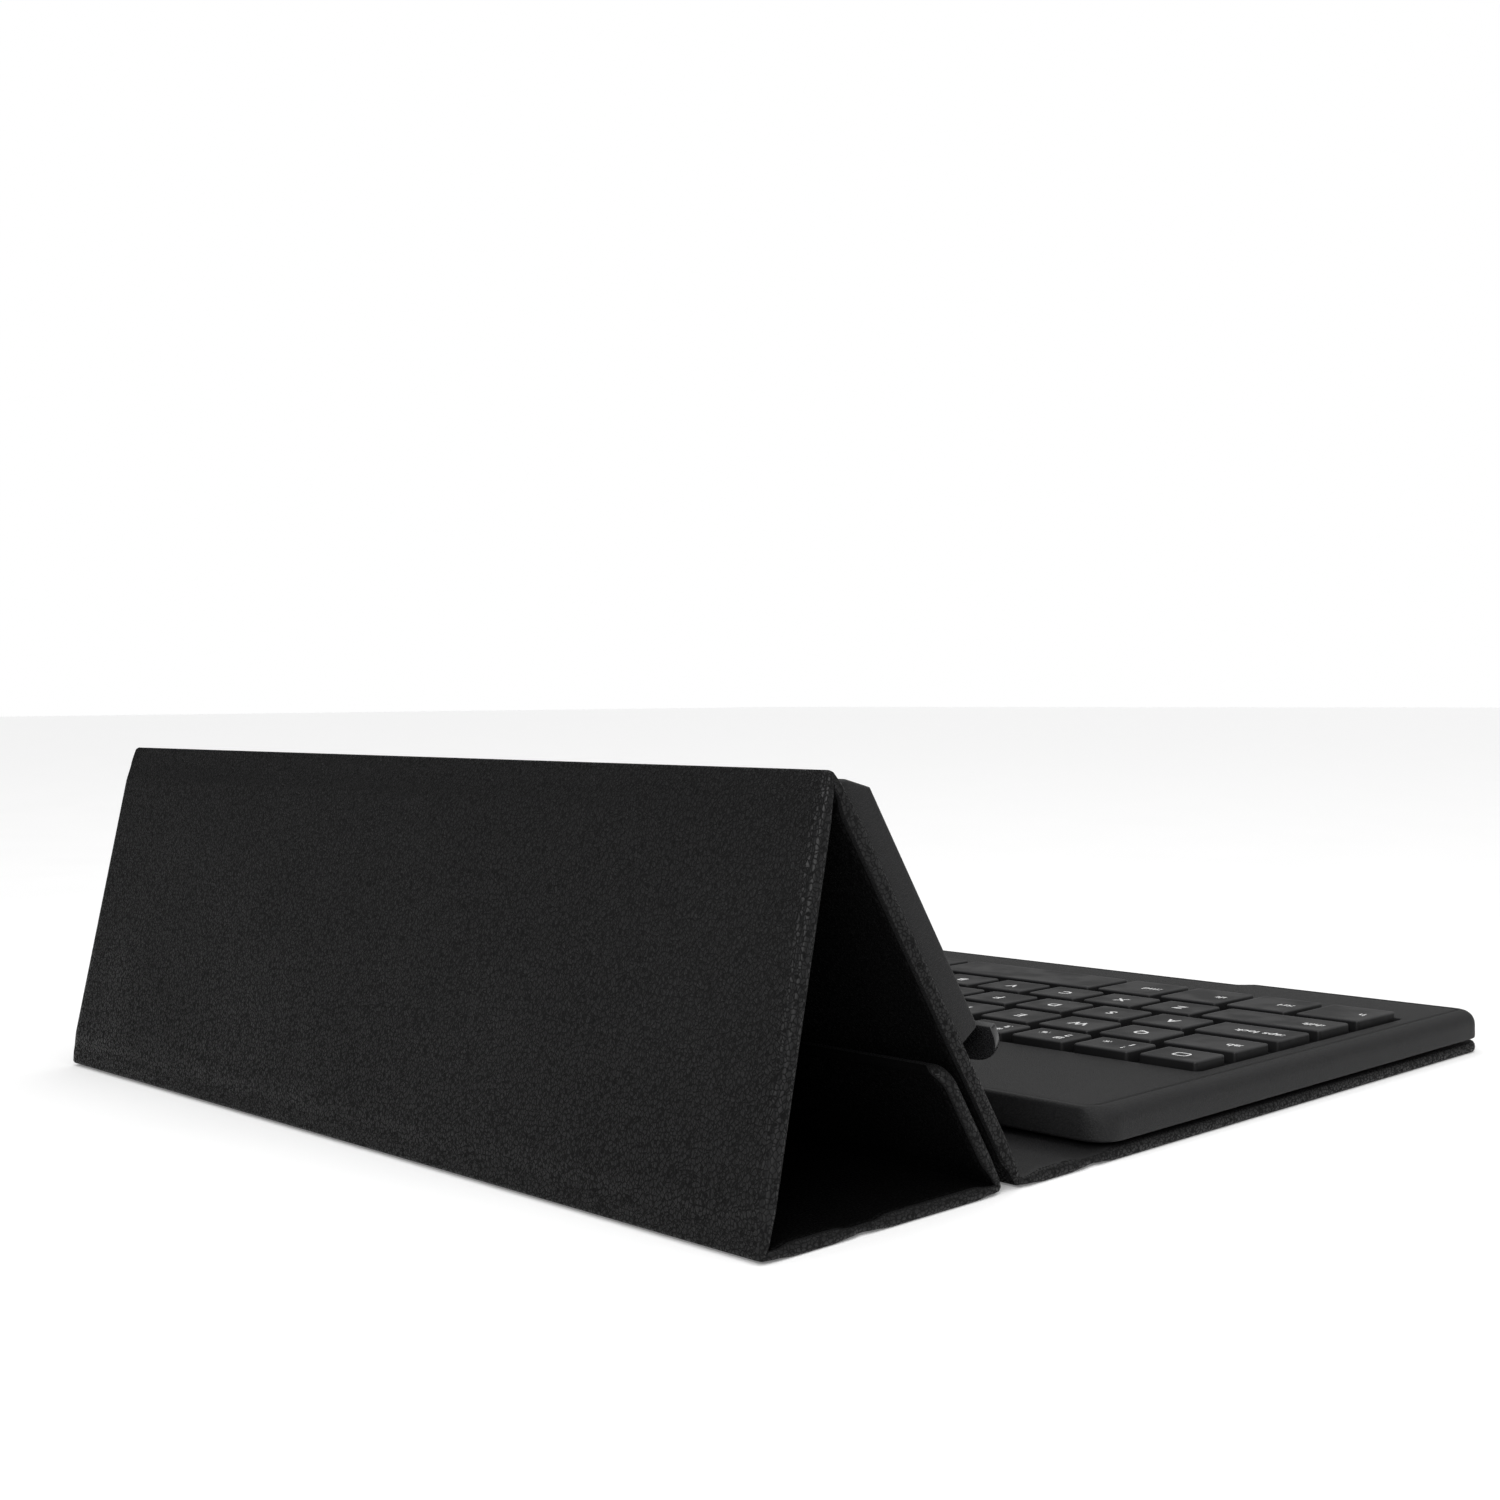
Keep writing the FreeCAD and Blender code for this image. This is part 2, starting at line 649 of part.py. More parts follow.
# Row name, its keys, its depth, and the depths and gaps in front of it.
ROWS = [
    ("bottom", BOTTOM_ROW, "bottom_row_deep", "0"),
    ("lower", LOWER_ROW, "letter_row_deep", "bottom_row_deep + row_gap"),
    ("middle", MIDDLE_ROW, "letter_row_deep", "bottom_row_deep + letter_row_deep + 2*row_gap"),
    ("upper", UPPER_ROW, "letter_row_deep", "bottom_row_deep + 2*letter_row_deep + 3*row_gap"),
    ("number", NUMBER_ROW, "number_row_deep",
     "bottom_row_deep + 3*letter_row_deep + 4*row_gap"),
]


def key_spots():
    """Every key as (name, row name, start in units, width in units, row depth, front)."""
    spots = []
    for row_name, keys, deep, front in ROWS:
        start = 0.0
        for name, units in keys:
            spots.append((name, row_name, round(start, 3), units, deep, front))
            start += units
    return spots


def keycap(name, start, units, deep, front):
    """A hollow keycap: four walls and a flat top with a fine bevel."""
    x_low = "-%s/2 + %s*key_unit + key_gap/2" % (KEYS_WIDTH, start)
    y_low = "%s + %s" % (KEYS_FRONT_Y, front)
    z_low = "%s - key_high" % KEY_TOP_Z
    width = "(%s*key_unit - key_gap)" % units
    block = box("key_%s_block" % name, (width, deep, "key_high"), (x_low, y_low, z_low))
    DOC.recompute()
    top = block.Shape.BoundBox.ZMax
    bevelled = treat_edges("Part::Chamfer", "key_%s_bevelled" % name, block, "key_edge_cut",
                           lambda edge: edge.BoundBox.ZMin > top - 0.01)
    hollow = box("key_%s_hollow" % name,
                 ("%s - 2*key_wall" % width, "%s - 2*key_wall" % deep, "key_high"),
                 ("%s + key_wall" % x_low, "%s + key_wall" % y_low, "%s - key_wall" % z_low))
    return cut("key_%s" % name, bevelled, hollow)


def keys():
    """A piece for each letter and for the space bar, and two groups for the other keys."""
    number_row = []
    others = []
    for name, row_name, start, units, deep, front in key_spots():
        cap = keycap(name, start, units, deep, front)
        if row_name == "number":
            number_row.append(cap)
        elif len(name) == 1:
            finish(cap, "key_" + name)
        elif name == "space":
            finish(cap, "key_space_bar")
        else:
            others.append(cap)
    finish(group("number_row", number_row), "number_row_keys")
    finish(group("function_keys", others), "function_keys")


def key_frame():
    """The thin plate that fills the well round the keys, with a hole for each of them."""
    z_low = "%s - frame_below_lid - frame_thick" % LID_TOP_Z
    plate = wide_box("frame_plate", "%s + 2*well_margin" % KEYS_WIDTH,
                     "%s + 2*well_margin" % KEYS_DEEP, "frame_thick",
                     "%s - well_margin" % KEYS_FRONT_Y, z_low)
    holes = []
    for name, _, start, units, deep, front in key_spots():
        holes.append(box("frame_hole_%s" % name,
                         ("%s*key_unit - key_gap + 2*frame_hole_gap" % units,
                          "%s + 2*frame_hole_gap" % deep, "frame_thick + 2"),
                         ("-%s/2 + %s*key_unit + key_gap/2 - frame_hole_gap" % (KEYS_WIDTH, start),
                          "%s + %s - frame_hole_gap" % (KEYS_FRONT_Y, front), "%s - 1" % z_low)))
    finish(cut("key_frame", plate, group("frame_holes", holes)), "key_frame")


def dome_sheet():
    """The rubber sheet over the circuit board, with a dome under each key."""
    sheet_z = "(%s + circuit_thick)" % CASE_FLOOR_Z
    pieces = [wide_box("sheet", "%s - 2" % KEYS_WIDTH, KEYS_DEEP, "sheet_thick", KEYS_FRONT_Y,
                       sheet_z)]
    for name, _, start, units, deep, front in key_spots():
        dome = DOC.addObject("Part::Cone", "dome_" + name)
        bind(dome, Radius1="dome_foot_radius", Radius2="dome_top_radius", Height="dome_high")
        move(dome, "-%s/2 + %s*key_unit" % (KEYS_WIDTH, start + units / 2),
             "%s + %s + %s/2" % (KEYS_FRONT_Y, front, deep), "%s + sheet_thick" % sheet_z)
        pieces.append(dome)
    finish(fuse("domes", pieces), "dome_sheet")


# ---- Build, check and write ----

def check():
    """Stops if any object failed, or a piece's shape is missing or broken."""
    for thing in DOC.Objects:
        if "Invalid" in thing.State or "Error" in thing.State:
            raise RuntimeError("%s failed: %s" % (thing.Name, thing.State))
    for thing in PARTS:
        if thing.Shape.isNull() or not thing.Shape.isValid():
            raise RuntimeError("%s has no valid shape" % thing.Label)


def write():
    os.makedirs("parts", exist_ok=True)
    for thing in PARTS:
        thing.Shape.exportStep("parts/%s.step" % thing.Label)


folio()
tray()
keyboard_housing()
keys()
key_frame()
dome_sheet()
DOC.recompute()
check()
write()
print("%d pieces" % len(PARTS))
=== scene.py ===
import json
import math

import bmesh
import bpy
from mathutils import Matrix, Quaternion, Vector


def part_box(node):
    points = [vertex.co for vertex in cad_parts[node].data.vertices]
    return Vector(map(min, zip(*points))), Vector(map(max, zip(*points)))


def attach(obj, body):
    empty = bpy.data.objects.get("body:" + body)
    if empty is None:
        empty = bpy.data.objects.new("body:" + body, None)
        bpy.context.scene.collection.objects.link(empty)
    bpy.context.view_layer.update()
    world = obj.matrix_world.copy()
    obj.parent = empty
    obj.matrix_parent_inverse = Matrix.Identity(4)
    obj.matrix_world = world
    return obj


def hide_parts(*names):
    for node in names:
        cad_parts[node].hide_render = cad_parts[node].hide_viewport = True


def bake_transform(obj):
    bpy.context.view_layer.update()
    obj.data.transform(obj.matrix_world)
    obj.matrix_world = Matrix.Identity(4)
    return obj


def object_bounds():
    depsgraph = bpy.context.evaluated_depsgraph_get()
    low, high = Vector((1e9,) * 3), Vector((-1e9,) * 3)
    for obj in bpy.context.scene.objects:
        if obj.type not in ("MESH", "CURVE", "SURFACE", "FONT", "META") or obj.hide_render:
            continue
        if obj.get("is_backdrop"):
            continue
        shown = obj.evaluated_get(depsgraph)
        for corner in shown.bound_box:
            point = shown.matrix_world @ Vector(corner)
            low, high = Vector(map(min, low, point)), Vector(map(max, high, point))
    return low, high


# Tablet keyboard case. +X is the user's right, +Y points away from the user, +Z is up.
# Lengths below are in millimetres until make() turns them into metres.

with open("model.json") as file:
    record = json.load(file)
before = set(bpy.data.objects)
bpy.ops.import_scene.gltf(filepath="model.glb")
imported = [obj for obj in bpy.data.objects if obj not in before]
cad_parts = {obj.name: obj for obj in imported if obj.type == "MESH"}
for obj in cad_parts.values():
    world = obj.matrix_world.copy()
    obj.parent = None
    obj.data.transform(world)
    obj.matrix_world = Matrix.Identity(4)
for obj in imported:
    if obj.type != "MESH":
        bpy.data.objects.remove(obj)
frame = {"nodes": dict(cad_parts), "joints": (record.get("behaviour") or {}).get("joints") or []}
CAD_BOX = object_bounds()
MM = 0.001
X_AXIS = Vector((1.0, 0.0, 0.0))

# ---- The camera, at the photograph's viewing angle ----

CAMERA_PLACE = (-295.5, 294.1, 78.7)
CAMERA_HEADING = -45.39        # degrees from +X, seen from above
CAMERA_DIP = -0.25             # degrees below the horizon
CAMERA_ROLL = -0.33
CAMERA_LENS = 46.21
CAMERA_SHIFT = (-0.032, -0.043)


def added(name, data):
    """A new object in the scene."""
    thing = bpy.data.objects.new(name, data)
    bpy.context.scene.collection.objects.link(thing)
    return thing


def make_camera():
    data = bpy.data.cameras.new("camera")
    data.lens = CAMERA_LENS
    data.sensor_width = 36.0
    data.shift_x, data.shift_y = CAMERA_SHIFT
    data.clip_start = 0.01
    data.clip_end = 20.0
    camera = added("camera", data)
    camera.location = Vector(CAMERA_PLACE) * MM
    heading, dip = math.radians(CAMERA_HEADING), math.radians(CAMERA_DIP)
    ahead = Vector((math.cos(heading) * math.cos(dip), math.sin(heading) * math.cos(dip),
                    -math.sin(dip)))
    roll = Quaternion((0, 0, 1), math.radians(CAMERA_ROLL))
    camera.rotation_euler = (ahead.to_track_quat("-Z", "Y") @ roll).to_euler()
    bpy.context.scene.camera = camera


make_camera()

# ---- Places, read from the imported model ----


def place(joint):
    """Where a fold's line is, in millimetres, as a point at X = 0."""
    found = next(j for j in frame["joints"] if j["name"] == joint)
    return Vector(found["pos_m"]) / MM


SPINE_FOLD = place("spine_fold")
FOOT_FOLD = place("holder_fold")
APEX_FOLD = place("stand_fold")
BACK_FOLD = place("flap_edge_fold")
FLAP_FOLD = place("flap_base_fold")
TIP_FOLD = place("flap_tip_fold")


def box(node):
    """Lowest and highest corner of a CAD node, in millimetres."""
    low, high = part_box(node)
    return low / MM, high / MM


def panel_frame(start, end):
    """Axes of a panel: x along the fold, y from its first fold to its second, z its upper face."""
    along = (end - start).normalized()
    up = X_AXIS.cross(along)
    turn = Matrix((X_AXIS, along, up)).transposed()
    return Matrix.Translation(start) @ turn.to_4x4()


COVER_FRAME = panel_frame(SPINE_FOLD - Vector((0, 100, 0)), SPINE_FOLD)
SPINE_FRAME = panel_frame(SPINE_FOLD, FOOT_FOLD)
HOLDER_FRAME = panel_frame(FOOT_FOLD, APEX_FOLD)
STAND_FRAME = panel_frame(APEX_FOLD, BACK_FOLD)
EDGE_FRAME = panel_frame(BACK_FOLD, FLAP_FOLD)
BASE_FRAME = panel_frame(FLAP_FOLD, TIP_FOLD)
TIP_FRAME = panel_frame(TIP_FOLD, TIP_FOLD + (APEX_FOLD - FOOT_FOLD))


def local_box(node, axes):
    """Lowest and highest corner of a CAD node in a panel's own axes, in millimetres."""
    back = axes.inverted()
    points = [back @ (v.co / MM) for v in frame["nodes"][node].data.vertices]
    low = Vector(tuple(min(p[i] for p in points) for i in range(3)))
    high = Vector(tuple(max(p[i] for p in points) for i in range(3)))
    return low, high


def islands(node):
    """The boxes of a CAD node's separate solids, in millimetres, front row first."""
    mesh = bmesh.new()
    mesh.from_mesh(frame["nodes"][node].data)
    bmesh.ops.remove_doubles(mesh, verts=mesh.verts, dist=1e-6)
    left = set(mesh.verts)
    found = []
    while left:
        queue = [left.pop()]
        members = []
        while queue:
            vertex = queue.pop()
            members.append(vertex.co / MM)
            for edge in vertex.link_edges:
                other = edge.other_vert(vertex)
                if other in left:
                    left.remove(other)
                    queue.append(other)
        low = Vector(tuple(min(p[i] for p in members) for i in range(3)))
        high = Vector(tuple(max(p[i] for p in members) for i in range(3)))
        found.append((low, high))
    mesh.free()
    return sorted(found, key=lambda pair: (round(pair[0].y), pair[0].x))


# ---- Materials ----


SHADER_SOCKETS = {
    "metallic": "Metallic",
    "specular": "Specular IOR Level",
    "sheen": "Sheen Weight",
    "sheen_rough": "Sheen Roughness",
}
MIX_FIRST, MIX_SECOND, MIX_RESULT = 6, 7, 2      # the colour sockets of Blender's Mix node


class Nodes:
    """Short names for building a material's node tree."""

    def __init__(self, name):
        self.material = bpy.data.materials.new(name)
        self.material.use_nodes = True
        self.tree = self.material.node_tree
        self.shader = self.tree.nodes["Principled BSDF"]
        self.mm = self.scaled(1 / MM, self.add("ShaderNodeTexCoord").outputs["Object"])

    def add(self, kind, **settings):
        node = self.tree.nodes.new(kind)
        for key, value in settings.items():
            setattr(node, key, value)
        return node

    def link(self, source, target):
        self.tree.links.new(source, target)

    def scaled(self, scale, source=None):
        """The object's coordinates in millimetres times scale, one number or three."""
        node = self.add("ShaderNodeMapping")
        node.inputs["Scale"].default_value = scale if hasattr(scale, "__len__") else (scale,) * 3
        self.link(source or self.mm, node.inputs["Vector"])
        return node.outputs["Vector"]

    def noise(self, vector, scale=1.0, detail=2.0, rough=0.5, output="Fac"):
        node = self.add("ShaderNodeTexNoise")
        node.inputs["Scale"].default_value = scale
        node.inputs["Detail"].default_value = detail
        node.inputs["Roughness"].default_value = rough
        self.link(vector, node.inputs["Vector"])
        return node.outputs[output]

    def voronoi(self, vector, scale=1.0, feature="F1"):
        node = self.add("ShaderNodeTexVoronoi", feature=feature)
        node.inputs["Scale"].default_value = scale
        self.link(vector, node.inputs["Vector"])
        return node.outputs["Distance"]

    def maths(self, kind, first, second):
        node = self.add("ShaderNodeMath", operation=kind)
        for socket, value in zip(node.inputs, (first, second)):
            if isinstance(value, (int, float)):
                socket.default_value = value
            else:
                self.link(value, socket)
        return node.outputs[0]

    def plus(self, first, second):
        return self.maths("ADD", first, second)

    def times(self, first, second):
        return self.maths("MULTIPLY", first, second)

    def spread(self, value, low, high, to_low, to_high):
        """value from low..high mapped to to_low..to_high, held at both ends."""
        node = self.add("ShaderNodeMapRange")
        node.interpolation_type = "SMOOTHSTEP"
        self.link(value, node.inputs["Value"])
        names = ("From Min", "From Max", "To Min", "To Max")
        for key, number in zip(names, (low, high, to_low, to_high)):
            node.inputs[key].default_value = number
        return node.outputs["Result"]

    def warped(self, vector, amount, scale):
        """vector moved about by noise, so that cells lose their straight sides."""
        noise = self.noise(vector, scale, output="Color")
        centred = self.add("ShaderNodeVectorMath", operation="SUBTRACT")
        self.link(noise, centred.inputs[0])
        centred.inputs[1].default_value = (0.5, 0.5, 0.5)
        moved = self.add("ShaderNodeVectorMath", operation="MULTIPLY_ADD")
        self.link(centred.outputs[0], moved.inputs[0])
        moved.inputs[1].default_value = (amount,) * 3
        self.link(vector, moved.inputs[2])
        return moved.outputs[0]

    def mixed(self, factor, first, second):
        node = self.add("ShaderNodeMix", data_type="RGBA")
        self.link(factor, node.inputs[0])
        node.inputs[MIX_FIRST].default_value = (*first, 1.0)
        node.inputs[MIX_SECOND].default_value = (*second, 1.0)
        return node.outputs[MIX_RESULT]

    def bump(self, height, strength, distance, below=None):
        node = self.add("ShaderNodeBump")
        node.inputs["Strength"].default_value = strength
        node.inputs["Distance"].default_value = distance * MM
        self.link(height, node.inputs["Height"])
        if below is not None:
            self.link(below, node.inputs["Normal"])
        return node.outputs["Normal"]

    def attribute(self, name):
        return self.add("ShaderNodeAttribute", attribute_name=name).outputs["Fac"]

    def finish(self, colour=None, rough=None, normal=None, **values):
        for socket, source in (("Base Color", colour), ("Roughness", rough), ("Normal", normal)):
            if source is not None:
                self.link(source, self.shader.inputs[socket])
        for key, value in values.items():
            self.shader.inputs[SHADER_SOCKETS[key]].default_value = value
        return self.material


def pebbled_leather(name, dark, light, shine):
    """Pebble-grained synthetic leather: wrinkled cells of over half a millimetre with dark pores."""
    n = Nodes(name)
    bent = n.warped(n.scaled((1.0, 0.8, 1.0)), 0.42, 1.2)
    cells = n.spread(n.voronoi(bent, 1.5, "DISTANCE_TO_EDGE"), 0.0, 0.2, 0.0, 1.0)
    fine = n.spread(n.voronoi(n.warped(n.mm, 0.25, 2.0), 2.6, "DISTANCE_TO_EDGE"), 0.0, 0.25, 0.0, 1.0)
    creases = n.noise(n.scaled((1.3, 0.6, 1.3)), 1.2, 4.0, 0.6)
    pores = n.spread(n.voronoi(n.warped(n.mm, 0.4, 1.1), 0.62), 0.16, 0.3, 0.0, 1.0)
    height = n.plus(n.times(cells, 0.7), n.times(fine, 0.15))
    height = n.plus(height, n.times(creases, 0.5))
    height = n.plus(height, n.times(pores, 0.9))
    edge = n.attribute("edge")
    height = n.times(height, n.spread(edge, 0.0, 1.0, 1.0, 0.12))
    waves = n.noise(n.mm, 0.045, 2.0)
    slow = n.bump(waves, 0.25, 1.2)
    normal = n.bump(height, 1.0, 0.34, slow)
    tone = n.times(cells, pores)
    colour = n.mixed(tone, dark, light)
    patch = n.noise(n.mm, 0.03, 3.0)
    rough = n.plus(n.spread(tone, 0.0, 1.0, 0.95, 0.42), n.spread(patch, 0.3, 0.7, -0.05, 0.05))
    return n.finish(colour, rough, normal, specular=shine)


def smooth_leather():
    """Fine-grained synthetic leather, as on the keyboard, the tray walls and the folds."""
    n = Nodes("smooth_leather")
    bent = n.warped(n.mm, 0.25, 2.4)
    cells = n.spread(n.voronoi(bent, 2.3, "DISTANCE_TO_EDGE"), 0.0, 0.25, 0.0, 1.0)
    threads = n.noise(n.mm, 4.5, 3.0, 0.65)
    height = n.plus(n.times(cells, 0.35), n.times(threads, 0.6))
    edge = n.attribute("edge")
    height = n.times(height, n.spread(edge, 0.0, 1.0, 1.0, 0.45))
    waves = n.noise(n.mm, 0.06, 2.0)
    slow = n.bump(waves, 0.2, 0.9)
    normal = n.bump(height, 0.9, 0.17, slow)
    # Lighter where edge is high: a painted highlight on the rims.
    tone = n.plus(n.times(cells, 0.6), n.times(edge, 0.4))
    colour = n.mixed(tone, (0.0035, 0.0035, 0.0037), (0.012, 0.012, 0.0126))
    rough = n.spread(threads, 0.3, 0.7, 0.66, 0.54)
    return n.finish(colour, rough, normal, specular=0.25)


def suede_lining():
    """The short-napped lining of the tray's back, brushed in soft streaks."""
    n = Nodes("suede_lining")
    nap = n.noise(n.mm, 3.6, 4.0, 0.7)
    strokes = n.noise(n.scaled((0.05, 0.14, 0.05)), 1.0, 3.0, 0.6)
    normal = n.bump(nap, 0.6, 0.12)
    tone = n.plus(n.times(nap, 0.5), n.times(strokes, 0.5))
    colour = n.mixed(n.spread(tone, 0.35, 0.65, 0.0, 1.0), (0.010, 0.010, 0.011), (0.024, 0.024, 0.026))
    rough = n.spread(nap, 0.0, 1.0, 0.95, 0.8)
    return n.finish(colour, rough, normal, sheen=0.35, sheen_rough=0.5, specular=0.2)


def case_plastic():
    """Fine spark-eroded black plastic."""
    n = Nodes("case_plastic")
    grain = n.noise(n.mm, 5.0, 3.0, 0.7)
    flow = n.noise(n.scaled((0.02, 0.1, 0.1)), 1.0, 2.0)
    normal = n.bump(grain, 0.35, 0.03)
    colour = n.mixed(flow, (0.010, 0.010, 0.0105), (0.014, 0.014, 0.0148))
    rough = n.spread(grain, 0.3, 0.7, 0.6, 0.45)
    return n.finish(colour, rough, normal, specular=0.45)


def matt_plastic():
    """The dull black plate between the keys."""
    n = Nodes("matt_plastic")
    grain = n.noise(n.mm, 4.0, 4.0, 0.7)
    colour = n.mixed(grain, (0.0012, 0.0012, 0.0013), (0.0030, 0.0030, 0.0032))
    return n.finish(colour, n.spread(grain, 0.3, 0.7, 0.9, 0.75), n.bump(grain, 0.4, 0.04), specular=0.08)


def gloss_plastic():
    """Polished black plastic of the tray's lip, with faint flow marks."""
    n = Nodes("gloss_plastic")
    swirl = n.noise(n.scaled((0.06, 0.3, 0.3)), 1.0, 3.0)
    specks = n.noise(n.mm, 2.5, 2.0)
    normal = n.bump(swirl, 0.15, 0.08)
    colour = n.mixed(swirl, (0.008, 0.008, 0.0085), (0.012, 0.012, 0.0128))
    rough = n.spread(specks, 0.4, 0.75, 0.2, 0.34)
    return n.finish(colour, rough, normal, specular=0.5)


def keycap_plastic():
    """Satin keycaps: a fine moulded grain, a little shinier where fingers rub, and lighter along their top
    edges as a painted highlight.
    """
    n = Nodes("keycap_plastic")
    grain = n.noise(n.mm, 6.0, 3.0, 0.7)
    rub = n.noise(n.mm, 0.12, 2.0)
    normal = n.bump(grain, 0.3, 0.022)
    edge = n.attribute("edge")
    # The caps' colour runs from dark to light with edge: a painted highlight on the top edges.
    colour = n.mixed(edge, (0.006, 0.006, 0.0063), (0.026, 0.026, 0.027))
    rough = n.maths("SUBTRACT", n.spread(rub, 0.35, 0.65, 0.56, 0.44), n.times(edge, 0.12))
    return n.finish(colour, rough, normal, specular=0.18)


def legend_paint():
    """White pad-printed legends, with a slightly uneven coat."""
    n = Nodes("legend_paint")
    coat = n.noise(n.mm, 4.0, 3.0, 0.6)
    colour = n.mixed(n.spread(coat, 0.3, 0.7, 0.0, 1.0), (0.62, 0.62, 0.62), (0.82, 0.82, 0.82))
    normal = n.bump(coat, 0.2, 0.01)
    rough = n.spread(coat, 0.3, 0.7, 0.55, 0.42)
    return n.finish(colour, rough, normal)


def fibreboard():
    n = Nodes("fibreboard")
    fibres = n.noise(n.scaled((0.35, 2.2, 2.2)), 1.0, 5.0, 0.7)
    blots = n.noise(n.mm, 0.15, 3.0)
    tone = n.plus(n.times(fibres, 0.7), n.times(blots, 0.3))
    colour = n.mixed(n.spread(tone, 0.35, 0.65, 0.0, 1.0), (0.20, 0.155, 0.11), (0.36, 0.30, 0.23))
    return n.finish(colour, n.spread(fibres, 0.0, 1.0, 0.95, 0.8), n.bump(fibres, 0.5, 0.1))


def brushed_metal(name, dark, light, rough_low, rough_high):
    """Plated metal with fine drawn lines."""
    n = Nodes(name)
    lines = n.noise(n.scaled((0.3, 9.0, 9.0)), 1.0, 4.0, 0.6)
    stains = n.noise(n.mm, 0.8, 3.0)
    colour = n.mixed(stains, dark, light)
    rough = n.spread(lines, 0.3, 0.7, rough_low, rough_high)
    return n.finish(colour, rough, n.bump(lines, 0.25, 0.02), metallic=1.0)


def dome_rubber():
    n = Nodes("dome_rubber")
    dust = n.noise(n.mm, 2.2, 4.0, 0.6)
    colour = n.mixed(n.spread(dust, 0.4, 0.7, 0.0, 1.0), (0.10, 0.10, 0.11), (0.17, 0.17, 0.18))
    return n.finish(colour, n.spread(dust, 0.3, 0.7, 0.62, 0.8), n.bump(dust, 0.2, 0.04))


def circuit_lacquer():
    """Green lacquer over copper tracks."""
    n = Nodes("circuit_lacquer")
    tracks = n.add("ShaderNodeTexBrick")
    n.link(n.scaled(0.16), tracks.inputs["Vector"])
    tracks.inputs["Scale"].default_value = 3.0
    tracks.inputs["Mortar Size"].default_value = 0.035
    line = tracks.outputs["Fac"]
    colour = n.mixed(line, (0.010, 0.075, 0.030), (0.030, 0.16, 0.055))
    mottle = n.noise(n.mm, 1.5, 3.0)
    return n.finish(colour, n.spread(mottle, 0.3, 0.7, 0.22, 0.4), n.bump(line, 0.4, 0.05))


def pad_felt():
    n = Nodes("pad_felt")
    fibres = n.noise(n.mm, 3.0, 5.0, 0.75)
    colour = n.mixed(n.spread(fibres, 0.35, 0.65, 0.0, 1.0), (0.008, 0.008, 0.008), (0.022, 0.022, 0.023))
    return n.finish(colour, n.spread(fibres, 0.0, 1.0, 1.0, 0.85), n.bump(fibres, 0.7, 0.15),
                    sheen=0.2)


PEBBLED = pebbled_leather("pebbled_leather", (0.0008, 0.0008, 0.0009), (0.0048, 0.0048, 0.0051), 0.21)
# A darker, duller copy of the pebbled leather for the faces that look into the stand's triangle: painted
# shade.
SHADED_OUTER = pebbled_leather("shaded_outer_leather", (0.0006, 0.0006, 0.0006), (0.0018, 0.0018, 0.0019), 0.04)
SMOOTH = smooth_leather()
SUEDE = suede_lining()
PLASTIC = case_plastic()
MATT = matt_plastic()
GLOSS = gloss_plastic()
KEYCAP = keycap_plastic()
LEGEND = legend_paint()

# ---- Building pieces ----


class Shape:
    """Points in millimetres, faces, and each face's material, gathered before they are a mesh.
    edge is a value for each point: 1 on a worn or stretched rim, 0 on open surface. It flattens the grain
    there, and it lightens the smooth leather and the keycaps there as a painted highlight."""

    def __init__(self):
        self.points = []
        self.faces = []
        self.which = []
        self.edge = []

    def add(self, points, faces, edge=0.0, material=0):
        first = len(self.points)
        self.points += [tuple(p) for p in points]
        self.faces += [tuple(first + i for i in face) for face in faces]
        self.which += [material] * len(faces)
        self.edge += edge if isinstance(edge, list) else [edge] * len(points)
        return self


def make(name, shape, materials, axes=None, crease=40.0):
    """A mesh object, in a panel's axes or in the row frame."""
    mesh = bpy.data.meshes.new(name)
    mesh.from_pydata([Vector(p) * MM for p in shape.points], [], shape.faces)
    for material in materials:
        mesh.materials.append(material)
    mesh.polygons.foreach_set("material_index", shape.which)
    mesh.attributes.new("edge", "FLOAT", "POINT").data.foreach_set("value", shape.edge)
    bm = bmesh.new()
    bm.from_mesh(mesh)
    bmesh.ops.recalc_face_normals(bm, faces=bm.faces)
    bm.to_mesh(mesh)
    bm.free()
    mesh.shade_smooth()
    mesh.set_sharp_from_angle(angle=math.radians(crease))
    piece = added(name, mesh)
    if axes is not None:
        piece.matrix_world = Matrix.Translation(axes.translation * MM) @ axes.to_3x3().to_4x4()
    return piece


def settle(piece, body, nodes):
    """Hides the CAD nodes a piece stands for and attaches it to the body it rides on."""
    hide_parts(*nodes)
    if body:
        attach(piece, body)
    return piece


def carve(piece, cutters):
    """Cuts holes in a piece and removes the cutters."""
    for cutter in cutters:
        cut = piece.modifiers.new(cutter.name, "BOOLEAN")
        cut.operation = "DIFFERENCE"
        cut.solver = "EXACT"
        cut.object = cutter
    bpy.context.view_layer.update()
    evaluated = piece.evaluated_get(bpy.context.evaluated_depsgraph_get())
    mesh = bpy.data.meshes.new_from_object(evaluated)
    piece.modifiers.clear()
    piece.data = mesh
    for cutter in cutters:
        bpy.data.objects.remove(cutter)


def ease(t):
    """Smooth step from 0 to 1."""
    t = max(0.0, min(1.0, t))
    return t * t * (3 - 2 * t)


def bridge(count, rings, ends="filled"):
    """Faces between successive rings of count points each. The two end rings are filled, or
    joined to each other."""
    pairs = [(r, r + 1) for r in range(rings - 1)]
    if ends == "joined":
        pairs.append((rings - 1, 0))
    faces = []
    for r, s in pairs:
        for i in range(count):
            j = (i + 1) % count
            faces.append((r * count + i, r * count + j, s * count + j, s * count + i))
    if ends == "filled":
        faces.append(tuple(reversed(range(count))))
        faces.append(tuple((rings - 1) * count + i for i in range(count)))
    return faces


SMALL_CORNER_STEPS = 4


